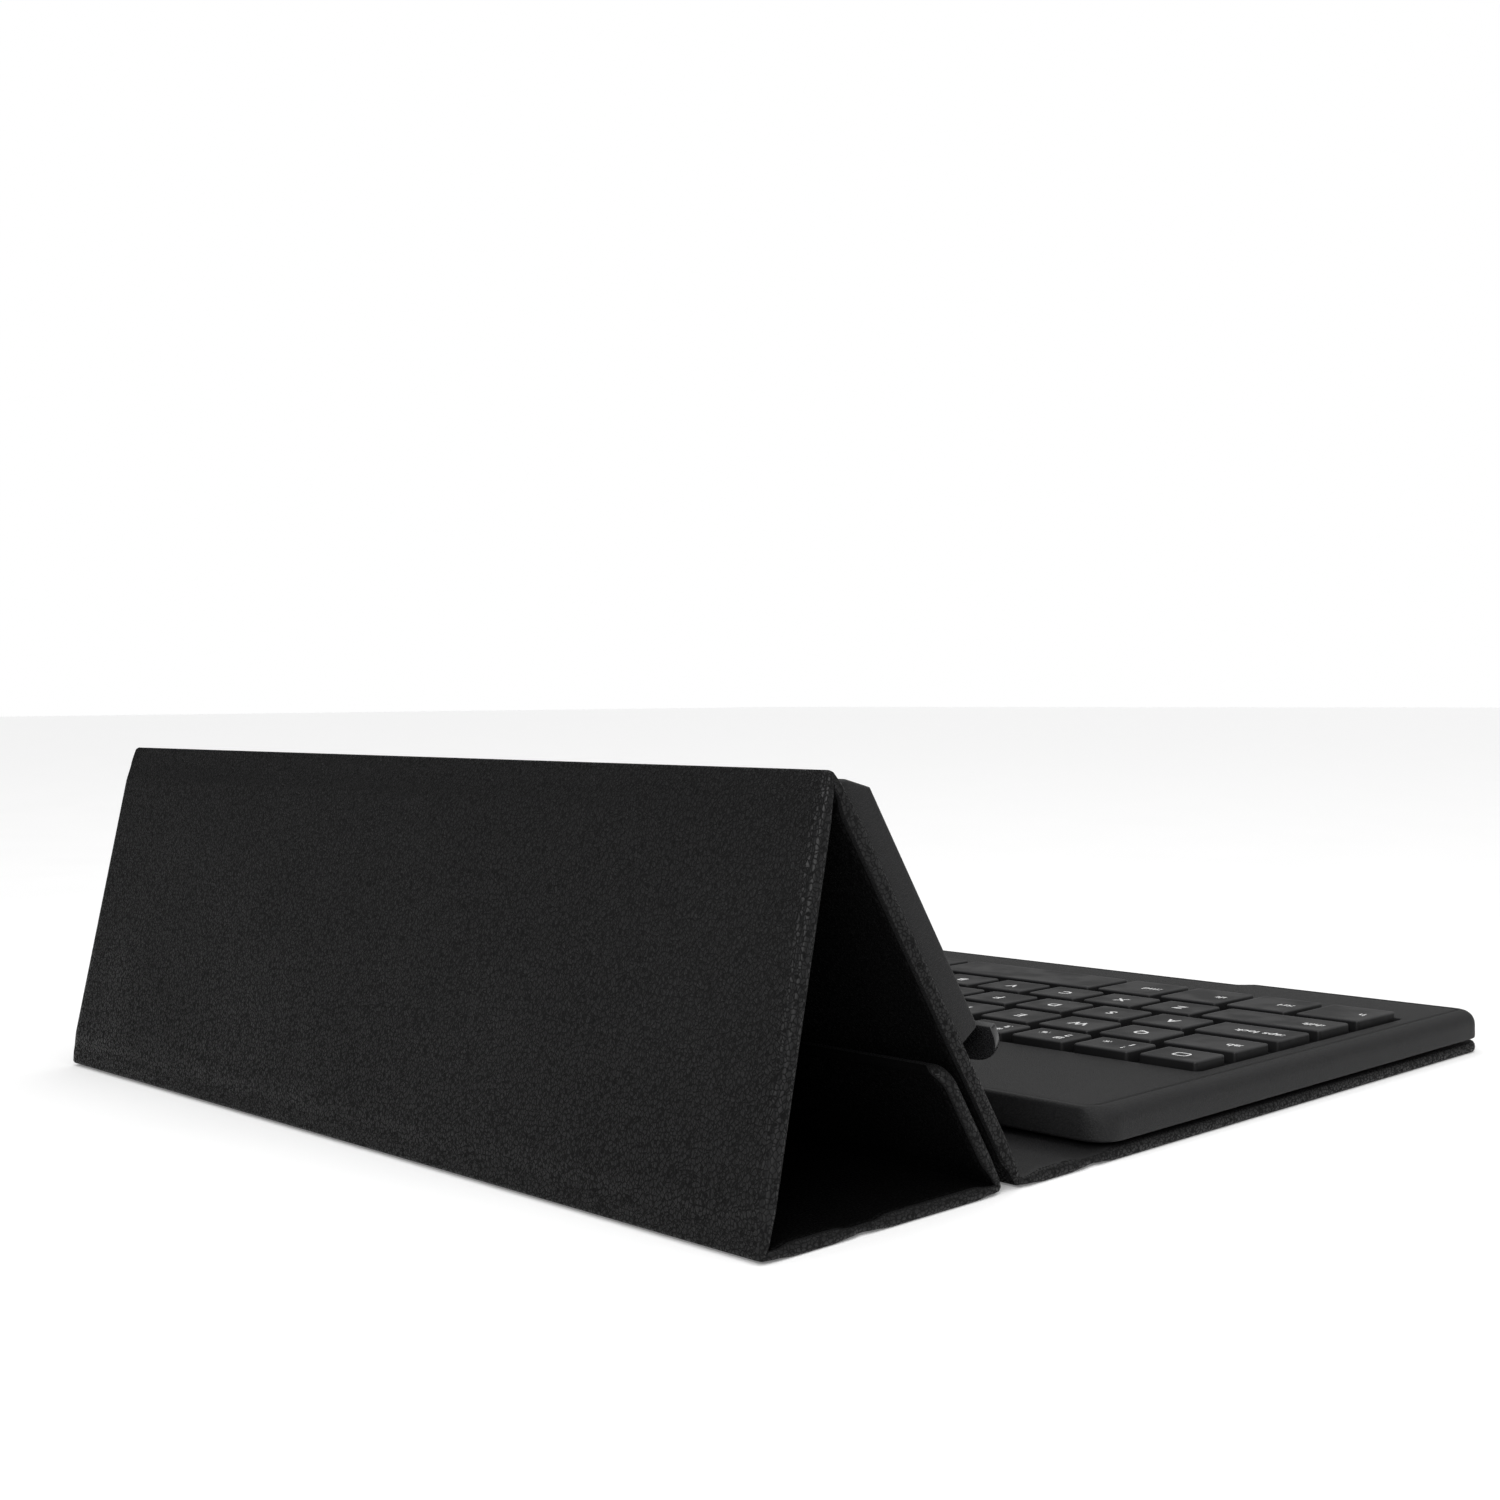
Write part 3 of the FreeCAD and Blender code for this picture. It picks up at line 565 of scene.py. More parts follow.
def corner_ring(low, high, corner, inset=0.0):
    """A rounded rectangle between two corners (x, y), drawn in by inset."""
    corners = ((high[0], high[1]), (low[0], high[1]), (low[0], low[1]), (high[0], low[1]))
    points = []
    for i, (x, y) in enumerate(corners):
        cx = x - math.copysign(inset + corner, x - (low[0] + high[0]) / 2)
        cy = y - math.copysign(inset + corner, y - (low[1] + high[1]) / 2)
        for k in range(SMALL_CORNER_STEPS + 1):
            turn = math.radians(90 * i + 90 * k / SMALL_CORNER_STEPS)
            points.append((cx + corner * math.cos(turn), cy + corner * math.sin(turn)))
    return points


ACROSS = 36        # points across a panel's width
ROUND = 6          # steps round a wrapped side edge
RIM = 1.2          # the width of the stretched rim beside it


def station(low, high, half_width, bulge, seam=0.0):
    """One closed loop round a panel's section. low and high are points (y, z) on its two faces,
    half_width reaches the outermost side, and bulge is how far the rounded side stands out.
    seam is the depth of a groove round the side edge, near the lower face."""
    low, high = Vector(low), Vector(high)
    middle, half = (low + high) / 2, (high - low) / 2
    inner = half_width - bulge
    reach = inner - RIM
    across = [-inner] + [-reach + 2 * reach * k / (ACROSS - 2) for k in range(ACROSS - 1)] + [inner]
    # Points on the rims carry edge 1: the grain is flatter there, and smooth leather gets a painted
    # highlight.
    rims = [1.0] + [0.0] * (ACROSS - 1) + [1.0]
    loop = []
    edge = []
    for side, face, seam_step in ((1, high, ROUND - 2), (-1, low, 2)):
        loop += [(side * x, face.x, face.y) for x in across]
        edge += rims + [1.0] * (ROUND - 1)
        for k in range(1, ROUND):
            turn = math.pi * k / ROUND
            out = inner + bulge * math.sin(turn) ** 0.7
            if seam and k == seam_step:
                out -= seam
            p = middle + half * (side * math.cos(turn))
            loop.append((side * out, p.x, p.y))
    return loop, edge


def loft(stations):
    """The closed shape through a run of stations. Its rims take the first material, its high
    face the second and its low face the third."""
    points = [p for loop, _ in stations for p in loop]
    edge = [e for _, marks in stations for e in marks]
    count = len(stations[0][0])
    shape = Shape().add(points, bridge(count, len(stations)), edge)
    for which, first in ((1, 0), (2, ACROSS + ROUND)):
        inside = range(first, first + ACROSS + 1)
        for i, face in enumerate(shape.faces):
            if all(point % count in inside for point in face):
                shape.which[i] = which
    return shape


FOLD_SHARE = 0.62      # a panel's thickness at a fold, as a share of its full thickness
TAPER = 4.2            # a panel thins over this length towards a fold
THIN_END = 0.06        # what is left of the thickness at a free end
FOLD_PINCH = 0.35      # how far a fold's sides draw in, halfway round it


def panel_stations(start, end, half_width, thick, folds, corner, seam=0.0):
    """Stations of a panel between start and end along its y. folds says for each end whether
    leather runs on over a fold there. corner is the plan radius of the free ends' corners."""
    half = thick / 2
    length = end - start
    marks = {TAPER * k / 6 for k in range(7)}
    for radius, steps in ((corner, 8), (half, 5)):
        marks |= {radius * (1 - math.cos(math.pi / 2 * k / steps)) for k in range(steps + 1)}
    near = sorted(m for m in marks if m < length / 2)
    spots = near + [length - m for m in reversed(near)]
    inner = length - 2 * near[-1]
    steps = max(2, int(inner / 8))
    spots += [near[-1] + inner * k / steps for k in range(1, steps)]
    made = []
    for spot in sorted(set(round(s, 4) for s in spots)):
        width, share = half_width, 1.0
        for fold, far in zip(folds, (spot, length - spot)):
            if fold:
                share *= FOLD_SHARE + (1 - FOLD_SHARE) * ease(far / TAPER)
                continue
            if far < corner:
                chord = math.sqrt(max(0.0, corner ** 2 - (corner - far) ** 2))
                width = min(width, half_width - corner + chord)
            if far < half:
                share *= max(THIN_END, math.sqrt(max(0.0, 1 - (1 - far / half) ** 2)))
        h = half * share
        y = start + spot
        loop, edge = station((y, -h), (y, h), width, min(h * 0.9, 1.1), seam)
        # Near a free end every point carries edge 1, with the same flatter grain and painted highlight.
        if any(not fold and far < RIM for fold, far in zip(folds, (spot, length - spot))):
            edge = [1.0] * len(edge)
        made.append((loop, edge))
    return made


def panel(body, node, axes, folds, high, low, corner=1.4, seam=0.0):
    """A board wrapped in leather, in its panel's own axes. high and low cover its two faces."""
    first, last = local_box(node, axes)
    stations = panel_stations(first.y, last.y, last.x, last.z - first.z, folds, corner, seam)
    piece = make(body + "_leather", loft(stations), [PEBBLED, high, low], axes, crease=50.0)
    settle(piece, body, [node])


WAIST = 0.62           # half the leather's thickness where it bends
FOLD_STEPS = 7
FOLD_TURN = 0.22       # radians between the sections round a bend


def turned(v, angle):
    c, s = math.cos(angle), math.sin(angle)
    return Vector((v.x * c - v.y * s, v.x * s + v.y * c))


def fold_section(first, second):
    """Pairs of points (inner, outer) in y and z that follow the leather round a fold's line at
    the origin. first and second are (direction into the panel, its end, its half thickness)."""
    a, b = first[0], second[0]
    opening = a.angle(b)
    flat = opening > math.pi - 0.02
    hollow = turned(a, -math.pi / 2) if flat else (a + b).normalized()

    def outward(along):
        square = turned(along, math.pi / 2)
        return square if square.dot(hollow) < 0 else -square

    def run(along, reach, end_half):
        square = outward(along)
        slope = math.tan(opening / 2) if not flat else 1e6
        pairs = []
        corner = None
        for k in range(FOLD_STEPS + 1):
            share = 1 - k / FOLD_STEPS
            s = reach * share
            h = WAIST + (end_half - WAIST) * ease(share)
            if s * slope > h or flat:
                inner = along * s - square * h
            elif corner is None:
                corner = along * (h / slope) - square * h
                inner = corner
            else:
                inner = corner
            pairs.append((inner, along * s + square * h))
        return pairs, square

    pairs_a, square_a = run(*first)
    pairs_b, square_b = run(*second)
    bend = math.acos(max(-1.0, min(1.0, square_a.dot(square_b))))
    sign = 1.0 if square_a.x * square_b.y - square_a.y * square_b.x > 0 else -1.0
    count = max(1, int(bend / FOLD_TURN))
    meet = (pairs_a[-1][0] + pairs_b[-1][0]) / 2
    arc = [(meet, turned(square_a, sign * bend * k / count) * WAIST) for k in range(1, count)]
    if flat:
        arc = []
        pairs_b = pairs_b[:-1]
    return pairs_a + arc + pairs_b[::-1]


def fold(title, bodies, pivot, first, second, outside, inside):
    """The leather over a fold, between two panels. It is attached to no body; bodies is not used."""
    pairs = fold_section(first, second)
    line = Vector((pivot.y, pivot.z))
    half_width = box("front_cover_panel")[1].x
    stations = []
    for i, (inner, outer) in enumerate(pairs):
        pinch = FOLD_PINCH * math.sin(math.pi * i / (len(pairs) - 1))
        bulge = min((outer - inner).length * 0.42, 1.0)
        stations.append(station(line + inner, line + outer, half_width - pinch, bulge))
    piece = make(title + "_fold_leather", loft(stations), [PEBBLED, outside, inside], crease=50.0)
    settle(piece, None, [title + "_fold_strip"])
    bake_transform(piece)


def into(pivot, axes, node, sign):
    """A fold's view of a panel: the direction into it, how far off it ends, its half thickness."""
    along = axes.to_3x3() @ Vector((0, sign, 0))
    low, high = local_box(node, axes)
    middle = (axes.inverted() @ pivot).y
    reach = low.y - middle if sign > 0 else middle - high.y
    return Vector((along.y, along.z)), reach, (high.z - low.z) / 2 * FOLD_SHARE


CORNER = 5.5            # plan radius of the keyboard and of the front cover under it
PANELS = (              # body, CAD node, axes, whether a fold follows at each end, upper and lower leather
    ("front_cover", "front_cover_panel", COVER_FRAME, (False, True), SMOOTH, PEBBLED, CORNER),
    ("spine", "spine_panel", SPINE_FRAME, (True, True), SMOOTH, PEBBLED),
    ("holder", "holder_back_panel", HOLDER_FRAME, (True, True), SUEDE, SHADED_OUTER, 1.4, 0.3),
    ("rear_stand", "rear_stand_panel", STAND_FRAME, (True, True), PEBBLED, SHADED_OUTER),
    ("flap_edge", "flap_edge_panel", EDGE_FRAME, (True, True), PEBBLED, SHADED_OUTER),
    ("flap_base", "flap_base_panel", BASE_FRAME, (True, True), PEBBLED, SHADED_OUTER),
    ("flap_tip", "flap_tip_panel", TIP_FRAME, (True, False), PEBBLED, SHADED_OUTER, 4.0),
)
FOLDS = (               # between one panel and the next: title, line, outer and inner leather
    ("spine", SPINE_FOLD, PEBBLED, SMOOTH),
    ("foot", FOOT_FOLD, SHADED_OUTER, SMOOTH),
    ("apex", APEX_FOLD, PEBBLED, SHADED_OUTER),
    ("back", BACK_FOLD, PEBBLED, SHADED_OUTER),
    ("flap", FLAP_FOLD, SHADED_OUTER, PEBBLED),
    ("tip", TIP_FOLD, PEBBLED, SHADED_OUTER),
)
for row in PANELS:
    panel(*row)
for (title, pivot, outside, inside), here, there in zip(FOLDS, PANELS, PANELS[1:]):
    first = into(pivot, here[2], here[1], -1)
    second = into(pivot, there[2], there[1], 1)
    fold(title, (here[0], there[0]), pivot, first, second, outside, inside)

# ---- The keyboard ----

LID_LOW, LID_HIGH = box("keyboard_lid")
CASE_LOW, CASE_HIGH = box("keyboard_bottom_case")
CORNER_STEPS = 8
SIDE_STEPS = 12
NOTCH_HALF = 47.0
NOTCH_DEEP = 3.0
NOTCH_SLOPE = 4.0
SHOULDER = 2.8
REAR_SHOULDER = 0.5
CREASE_FROM_SHOULDER = 0.9
CREASE_HALF = 0.45
CREASE_DEEP = 0.35
KEY_MARGIN = 0.95           # between the keys and the sides of their well
WELL_DEEP = 1.4
SWITCH_TRAVEL = 3.0
SKIRT_THICK = 1.0
SKIRT_GAP = 0.12            # the leather stops this far above the lower shell's underside


def front_spots(half):
    """Places along the front edge, as shares of half, closer together where the notch slopes."""
    inner = NOTCH_HALF
    outer = NOTCH_HALF + NOTCH_SLOPE
    right = [inner * k / 7 for k in range(1, 7)]
    right += [inner + NOTCH_SLOPE * k / 6 for k in range(7)]
    right += [outer + (half - outer) * k / 6 for k in range(1, 6)]
    return [-x / half for x in reversed(right)] + [0.0] + [x / half for x in right]


def rim(half, front, rear, corner, spots, inset=0.0, rear_inset=None, notch=0.0):
    """A rounded rectangle round the keyboard, as points (x, y) from the front edge's left end,
    drawn in by inset. It always has the same number of points in the same order."""
    behind = inset if rear_inset is None else rear_inset
    reach = half - corner
    points = []
    for spot in spots:
        x = spot * reach
        step = notch * (1 - ease((abs(x) - NOTCH_HALF) / NOTCH_SLOPE))
        points.append((x, front + inset + step))

    def arc(x, y, first, across, along):
        for k in range(CORNER_STEPS + 1):
            turn = math.radians(first + 90 * k / CORNER_STEPS)
            points.append((x + across * math.cos(turn), y + along * math.sin(turn)))

    across = max(0.2, corner - inset)
    along = max(0.2, corner - behind)
    arc(reach, front + corner, -90, across, across)
    for k in range(1, SIDE_STEPS):
        points.append((half - inset, front + corner + (rear - front - 2 * corner) * k / SIDE_STEPS))
    arc(reach, rear - corner, 0, across, along)
    for k in range(1, SIDE_STEPS):
        points.append((reach - 2 * reach * k / SIDE_STEPS, rear - behind))
    arc(-reach, rear - corner, 90, across, along)
    for k in range(1, SIDE_STEPS):
        points.append((inset - half, rear - corner - (rear - front - 2 * corner) * k / SIDE_STEPS))
    arc(-reach, front + corner, 180, across, across)
    return points


KEYBOARD_SPOTS = front_spots(LID_HIGH.x - CORNER)


def lid_ring(inset, z, upper=False):
    """A ring of the keyboard's outside at a height. upper is for the rings of the top, whose
    shoulder is tighter at the rear."""
    behind = inset
    if upper:
        rise = min(1.0, max(0.0, (z - LID_HIGH.z + REAR_SHOULDER) / REAR_SHOULDER))
        behind = REAR_SHOULDER * (1 - math.sqrt(1 - rise * rise)) + max(0.0, inset - SHOULDER)
    flat = rim(LID_HIGH.x, LID_LOW.y, LID_HIGH.y, CORNER, KEYBOARD_SPOTS, inset, behind, NOTCH_DEEP)
    return [(x, y, z) for x, y in flat]


def well_ring(well, grow, z):
    low, high = well
    corner = 1.2 + grow
    flat = rim(high.x + grow, low.y - grow, high.y + grow, corner, KEYBOARD_SPOTS)
    return [(x, y, z) for x, y in flat]


def key_boxes():
    found = {}
    for node in sorted(frame["nodes"]):
        if node.startswith("key_") and node != "key_frame":
            found[node] = [box(node)]
    for node in ("number_row_keys", "function_keys"):
        found[node] = islands(node)
    return found


KEY_BOXES = key_boxes()


def keys_outline(margin):
    """The rectangle round all the keys, with a margin."""
    every = [pair for pairs in KEY_BOXES.values() for pair in pairs]
    low = Vector((min(p[0].x for p in every), min(p[0].y for p in every), 0))
    high = Vector((max(p[1].x for p in every), max(p[1].y for p in every), 0))
    return low - Vector((margin, margin, 0)), high + Vector((margin, margin, 0))


def slot_cutter(name, node, gap, travel, corner):
    """A rounded slot through the keyboard's right-hand wall, round a CAD node and its travel."""
    low, high = box(node)
    loop = corner_ring((low.y - gap, low.z - gap), (high.y + gap + travel, high.z + gap), corner)
    points = [(x, y, z) for x in (LID_HIGH.x - 4, LID_HIGH.x + 2) for y, z in loop]
    return make(name, Shape().add(points, bridge(len(loop), 2)), [SMOOTH])


def keyboard_leather():
    """The leather-wrapped top of the keyboard: its skirt, rounded shoulder, the crease where the
    leather is tucked in, the thumb notch, and the well for the keys."""
    top = LID_HIGH.z
    skirt = CASE_LOW.z + SKIRT_GAP
    well = keys_outline(KEY_MARGIN)
    rings = []
    marks = []

    def ring(points, mark=0.0):
        rings.append(points)
        marks.append(mark)

    # The second number of each ring is its edge value: flatter grain and a painted highlight, strongest at
    # the skirt's foot, halfway round the shoulder and on the well's lip.
    ring(lid_ring(SKIRT_THICK, skirt))
    ring(lid_ring(0.35, skirt), 1.0)
    ring(lid_ring(0.08, skirt + 0.15), 1.0)
    ring(lid_ring(0.0, skirt + 0.5), 0.6)
    ring(lid_ring(0.0, (skirt + top) / 2), 0.2)
    for k in range(9):
        turn = math.pi / 2 * k / 8
        ring(lid_ring(SHOULDER * (1 - math.cos(turn)), top - SHOULDER * (1 - math.sin(turn)), True),
             0.2 + 0.5 * math.sin(2 * turn))
    crease = SHOULDER + CREASE_FROM_SHOULDER
    for share, deep in ((-1.0, 0.0), (-0.45, 0.55), (0.0, 1.0), (0.45, 0.55), (1.0, 0.0)):
        points = lid_ring(crease + CREASE_HALF * share, top, True)
        rear = LID_HIGH.y - CORNER
        ring([(x, y, z - CREASE_DEEP * deep * (1 - ease((y - rear) / CORNER))) for x, y, z in points])
    ring(lid_ring(crease + 1.6, top, True))
    ring(well_ring(well, 1.5, top))
    ring(well_ring(well, 0.45, top), 0.3)
    ring(well_ring(well, 0.12, top - 0.12), 1.0)
    ring(well_ring(well, 0.0, top - 0.45), 0.8)
    ring(well_ring(well, 0.0, top - WELL_DEEP))
    ring(well_ring(well, 1.0, top - WELL_DEEP))
    ring(lid_ring(SHOULDER + 1.0, top - WELL_DEEP))
    ring(lid_ring(SKIRT_THICK, top - SHOULDER))
    count = len(rings[0])
    edge = [mark for mark in marks for _ in range(count)]
    shape = Shape().add([p for points in rings for p in points], bridge(count, len(rings), "joined"), edge)
    piece = make("keyboard_leather", shape, [SMOOTH], crease=50.0)
    carve(piece, [slot_cutter("socket_hole", "charging_socket", 0.25, 0.0, 1.3),
                  slot_cutter("switch_hole", "power_switch", 0.2, SWITCH_TRAVEL, 0.6)])
    return settle(piece, "front_cover", ["keyboard_lid"])


def keyboard_shell():
    """The lower half of the housing, inside the leather's skirt."""
    low, high = CASE_LOW.z, CASE_HIGH.z
    profile = ((2.2, low, 0.0), (1.6, low, 0.3), (1.15, low + 0.25, 1.0), (SKIRT_THICK, low + 0.7, 0.3),
               (SKIRT_THICK, high, 0.0))
    rings = [lid_ring(inset, z) for inset, z, _ in profile]
    edge = [mark for _, _, mark in profile for _ in rings[0]]
    shape = Shape().add([p for ring in rings for p in ring], bridge(len(rings[0]), len(rings)), edge)
    piece = make("keyboard_shell", shape, [PLASTIC])
    return settle(piece, "front_cover", ["keyboard_bottom_case"])


keyboard_leather()
keyboard_shell()

# ---- Keys ----

KEY_CORNER = 0.8
KEY_DISH = 0.085               # how far the middle of a keycap lies below its rim
KEY_PROFILE = (                # inset, whether from the top, height above that, edge mark (the painted highlight's strength, and a little less roughness)
    (0.9, False, 0.0, 0.0),
    (0.25, False, 0.0, 0.2),
    (0.05, False, 0.2, 0.2),
    (0.0, False, 0.5, 0.0),
    (0.08, True, -0.42, 0.1),
    (0.13, True, -0.22, 1.0),
    (0.24, True, -0.08, 1.0),
    (0.42, True, 0.0, 0.5),
    (0.9, True, -0.02, 0.0),
    (2.0, True, -0.06, 0.0),
    (3.6, True, -KEY_DISH, 0.0),
)


def keycap(shape, low, high):
    rings = []
    marks = []
    for inset, from_top, height, mark in KEY_PROFILE:
        z = (high.z if from_top else low.z) + height
        ring = corner_ring(low, high, max(0.15, KEY_CORNER - inset), inset)
        rings += [(x, y, z) for x, y in ring]
        marks += [mark] * len(ring)
    shape.add(rings, bridge(len(ring), len(KEY_PROFILE)), marks)


def words(text, size, across=0.0, along=0.0, align="CENTER"):
    """The outlines of a word as a flat mesh: points (x, y) and faces, about a middle."""
    curve = bpy.data.curves.new("word", "FONT")
    curve.body = text
    curve.size = size
    curve.align_x = align
    curve.align_y = "CENTER"
    curve.offset = size * LEGEND_WEIGHT
    curve.resolution_u = 3
    holder = added("word", curve)
    bpy.context.view_layer.update()
    mesh = bpy.data.meshes.new_from_object(holder.evaluated_get(bpy.context.evaluated_depsgraph_get()))
    points = [(v.co.x + across, v.co.y + along) for v in mesh.vertices]
    faces = [tuple(p.vertices) for p in mesh.polygons]
    bpy.data.objects.remove(holder)
    bpy.data.curves.remove(curve)
    bpy.data.meshes.remove(mesh)
    return points, faces


LEGEND_WEIGHT = 0.022
LEGEND_RISE = 0.015
LETTER_SIZE = 4.0
WORD_SIZE = 3.1
DIGIT_SIZE = 3.1
SIGN_SIZE = 2.5
SIGN_PLACE = (-3.0, 1.75)      # from the middle of a number key, as are the next two
DIGIT_PLACE = (-3.0, -1.75)
SMALL_PLACE = (2.9, -1.6)
WORD_MARGIN = 2.0              # from a key's side to a word on it
ARROW_SIZE = 1.4


def polygon(*points):
    return list(points), [tuple(range(len(points)))]


def disc(x, y, radius, count=14):
    turns = [2 * math.pi * k / count for k in range(count)]
    return polygon(*[(x + radius * math.cos(t), y + radius * math.sin(t)) for t in turns])


def between(inner, outer):
    """The flat band between two rings with the same number of points."""
    count = len(inner)
    faces = [(i, (i + 1) % count, count + (i + 1) % count, count + i) for i in range(count)]
    return inner + outer, faces


def hoop(x, y, radius, inner, count=20):
    turns = [2 * math.pi * k / count for k in range(count)]
    rings = [[(x + r * math.cos(t), y + r * math.sin(t)) for t in turns] for r in (inner, radius)]
    return between(*rings)


def bar(x, y, wide, high):
    w, h = wide / 2, high / 2
    return polygon((x - w, y - h), (x + w, y - h), (x + w, y + h), (x - w, y + h))


def arrow(x, y, size, heading):
    """A triangle that points along heading, in degrees from the right."""
    points = []
    for share, turn in ((1.0, 0), (0.8, 140), (0.8, -140)):
        angle = math.radians(heading + turn)
        points.append((x + size * share * math.cos(angle), y + size * share * math.sin(angle)))
    return polygon(*points)


def frame_mark(wide, high, corner, line):
    """A rounded rectangle drawn as a line."""
    top = Vector((wide / 2, high / 2, 0))
    inner = corner_ring(-top, top, max(0.1, corner - line), line)
    return between(inner, corner_ring(-top, top, corner))


def sun(radius, rays):
    reach = radius + rays
    turns = [math.pi / 4 * k for k in range(8)]
    return [disc(0, 0, radius)] + [disc(reach * math.cos(t), reach * math.sin(t), 0.16, 8) for t in turns]


def speaker(x):
    horn = polygon((x - 0.5, -0.4), (x + 0.2, -0.95), (x + 0.2, 0.95), (x - 0.5, 0.4))
    return [bar(x - 0.75, 0, 0.5, 0.8), horn]


SMALL_SIGNS = (                # the generic control marks on the number row, from left to right
    sun(0.42, 0.4),
    sun(0.62, 0.5),
    [hoop(-0.15, 0.15, 0.75, 0.5), polygon((0.3, -0.5), (0.5, -0.3), (1.05, -0.85), (0.85, -1.05))],
    [frame_mark(2.6, 1.6, 0.3, 0.22), bar(0, -0.35, 1.2, 0.2), bar(-0.5, 0.25, 0.3, 0.3),
     bar(0.1, 0.25, 0.3, 0.3)],
    [arrow(-0.5, 0, 0.75, 180), arrow(0.6, 0, 0.75, 180)],
    [arrow(-0.5, 0, 0.85, 0), bar(0.55, 0, 0.25, 1.4), bar(1.05, 0, 0.25, 1.4)],
    [arrow(-0.6, 0, 0.75, 0), arrow(0.5, 0, 0.75, 0)],
    speaker(0.0),
    speaker(-0.3) + [bar(0.5, 0, 0.2, 0.8)],
    speaker(-0.3) + [bar(0.5, 0, 0.2, 0.8), bar(0.95, 0, 0.2, 1.4)],
    [bar(0, -0.35, 1.3, 0.95), hoop(0, 0.2, 0.5, 0.3)],
    [],
)
SIGNS = "!@#$%^&*()_+"
DIGITS = "1234567890-="


def moved(parts, x, y):
    return [([(px + x, py + y) for px, py in points], faces) for points, faces in parts]


def number_row_legends():
    """Legends for the number row from left to right, each a list of flat meshes."""
    found = [[frame_mark(3.4, 3.0, 0.9, 0.42)]]
    for sign, digit, small in zip(SIGNS, DIGITS, SMALL_SIGNS):
        parts = [words(sign, SIGN_SIZE, *SIGN_PLACE), words(digit, DIGIT_SIZE, *DIGIT_PLACE)]
        found.append(parts + moved(small, *SMALL_PLACE))
    return found


def worded(text, low, high, side):
    """A word near one end of a key."""
    half = (high.x - low.x) / 2 - WORD_MARGIN
    if side == "left":
        return [words(text, WORD_SIZE, -half, 0.0, "LEFT")]
    if side == "right":
        return [words(text, WORD_SIZE, half, 0.0, "RIGHT")]
    return [words(text, WORD_SIZE)]


def stacked(sign, plain):
    return [words(sign, SIGN_SIZE, 0.0, 2.2), words(plain, DIGIT_SIZE, 0.0, -1.9)]


FUNCTION_LEGENDS = (           # front row first, each row from left to right
    ("fn", "left"), ("ctrl", "left"), ("alt", "left"), ("cmd", "left"), ("cmd", "right"),
    ("arrow", 180), ("arrow", 90), ("arrow", -90), ("arrow", 0),
    ("shift", "left"), ("stack", "<,"), ("stack", ">."), ("stack", "?/"), ("shift", "right"),
    ("caps lock", "left"), ("stack", "\"'"), ("enter", "right"),
    ("tab", "left"), ("delete", "right"),
)


def function_legends(boxes):
    found = []
    for (text, extra), (low, high) in zip(FUNCTION_LEGENDS, boxes):
        if text == "arrow":
            found.append([arrow(0.0, 0.0, ARROW_SIZE, extra)])
        elif text == "stack":
            found.append(stacked(*extra))
        else:
            found.append(worded(text, low, high, extra))
    return found


def add_legends(shape, low, high, parts):
    middle = (low + high) / 2
    z = high.z - KEY_DISH + LEGEND_RISE
    for points, faces in parts:
        placed = [(middle.x + x, middle.y + y, z) for x, y in points]
        shape.add(placed, faces, 0.0, 1)


def key_piece(node, boxes, legends):
    shape = Shape()
    for (low, high), parts in zip(boxes, legends):
        keycap(shape, low, high)
        add_legends(shape, low, high, parts)
    piece = make(node + "_cap", shape, [KEYCAP, LEGEND], crease=35.0)
    return settle(piece, node, [node])


for node, boxes in KEY_BOXES.items():
    if node == "number_row_keys":
        legends = number_row_legends()
    elif node == "function_keys":
        legends = function_legends(boxes)
    elif node == "key_space_bar":
        legends = [[]]
    else:
        legends = [[words(node[-1].upper(), LETTER_SIZE)]]
    key_piece(node, boxes, legends)

# ---- The tray ----

WALL_ROUND = 1.0
WALL_END_ROUND = 0.6
WALL_TOP_SLOPE = 4.6           # the length of the slope at a wall's upper end
WALL_TOP_FALL = 0.92           # how steeply it falls


def wall_loop(x0, x1, z0, z1, y, inset):
    """A section of a tray wall, its two upper edges rounded."""
    x0, x1, z1 = x0 + inset, x1 - inset, z1 - inset
    r = min(WALL_ROUND, (x1 - x0) * 0.45, (z1 - z0) * 0.9)
    loop = [(x0, y, z0), (x1, y, z0)]
    for x, first in ((x1 - r, 0), (x0 + r, 1)):
        for k in range(6):
            turn = math.pi / 2 * (first + k / 5)
            loop.append((x + r * math.cos(turn), y, z1 - r + r * math.sin(turn)))
    return loop


def tray_wall(name, node):
    """A leather-covered wall beside the tablet, cut down in a slope at its upper end."""
    low, high = local_box(node, HOLDER_FRAME)
    length = high.y - low.y
    plain = length - WALL_END_ROUND - WALL_TOP_SLOPE
    spots = [0.0, 0.12, 0.35, WALL_END_ROUND] + [WALL_END_ROUND + plain * k / 10 for k in range(1, 11)]
    spots += [length - WALL_TOP_SLOPE * (1 - k / 6) for k in range(1, 7)]
    points = []
    marks = []
    for spot in spots:
        near = min(spot, length - spot)
        inset = 0.0
        if near < WALL_END_ROUND:
            inset = WALL_END_ROUND * (1 - math.sqrt(1 - (1 - near / WALL_END_ROUND) ** 2)) * 0.8
        drop = max(0.0, spot - (length - WALL_TOP_SLOPE)) * WALL_TOP_FALL
        loop = wall_loop(low.x, high.x, low.z, high.z - drop, low.y + spot, inset)
        points += loop
        # The rounded upper edges carry edge 0.7: flatter grain and a painted highlight.
        marks += [0.0, 0.0] + [0.7] * (len(loop) - 2)
    shape = Shape().add(points, bridge(len(loop), len(spots)), marks)
    return settle(make(name, shape, [SMOOTH], HOLDER_FRAME, 50.0), "holder", [node])


tray_wall("tray_left_cover", "tray_left_wall")
tray_wall("tray_right_cover", "tray_right_wall")


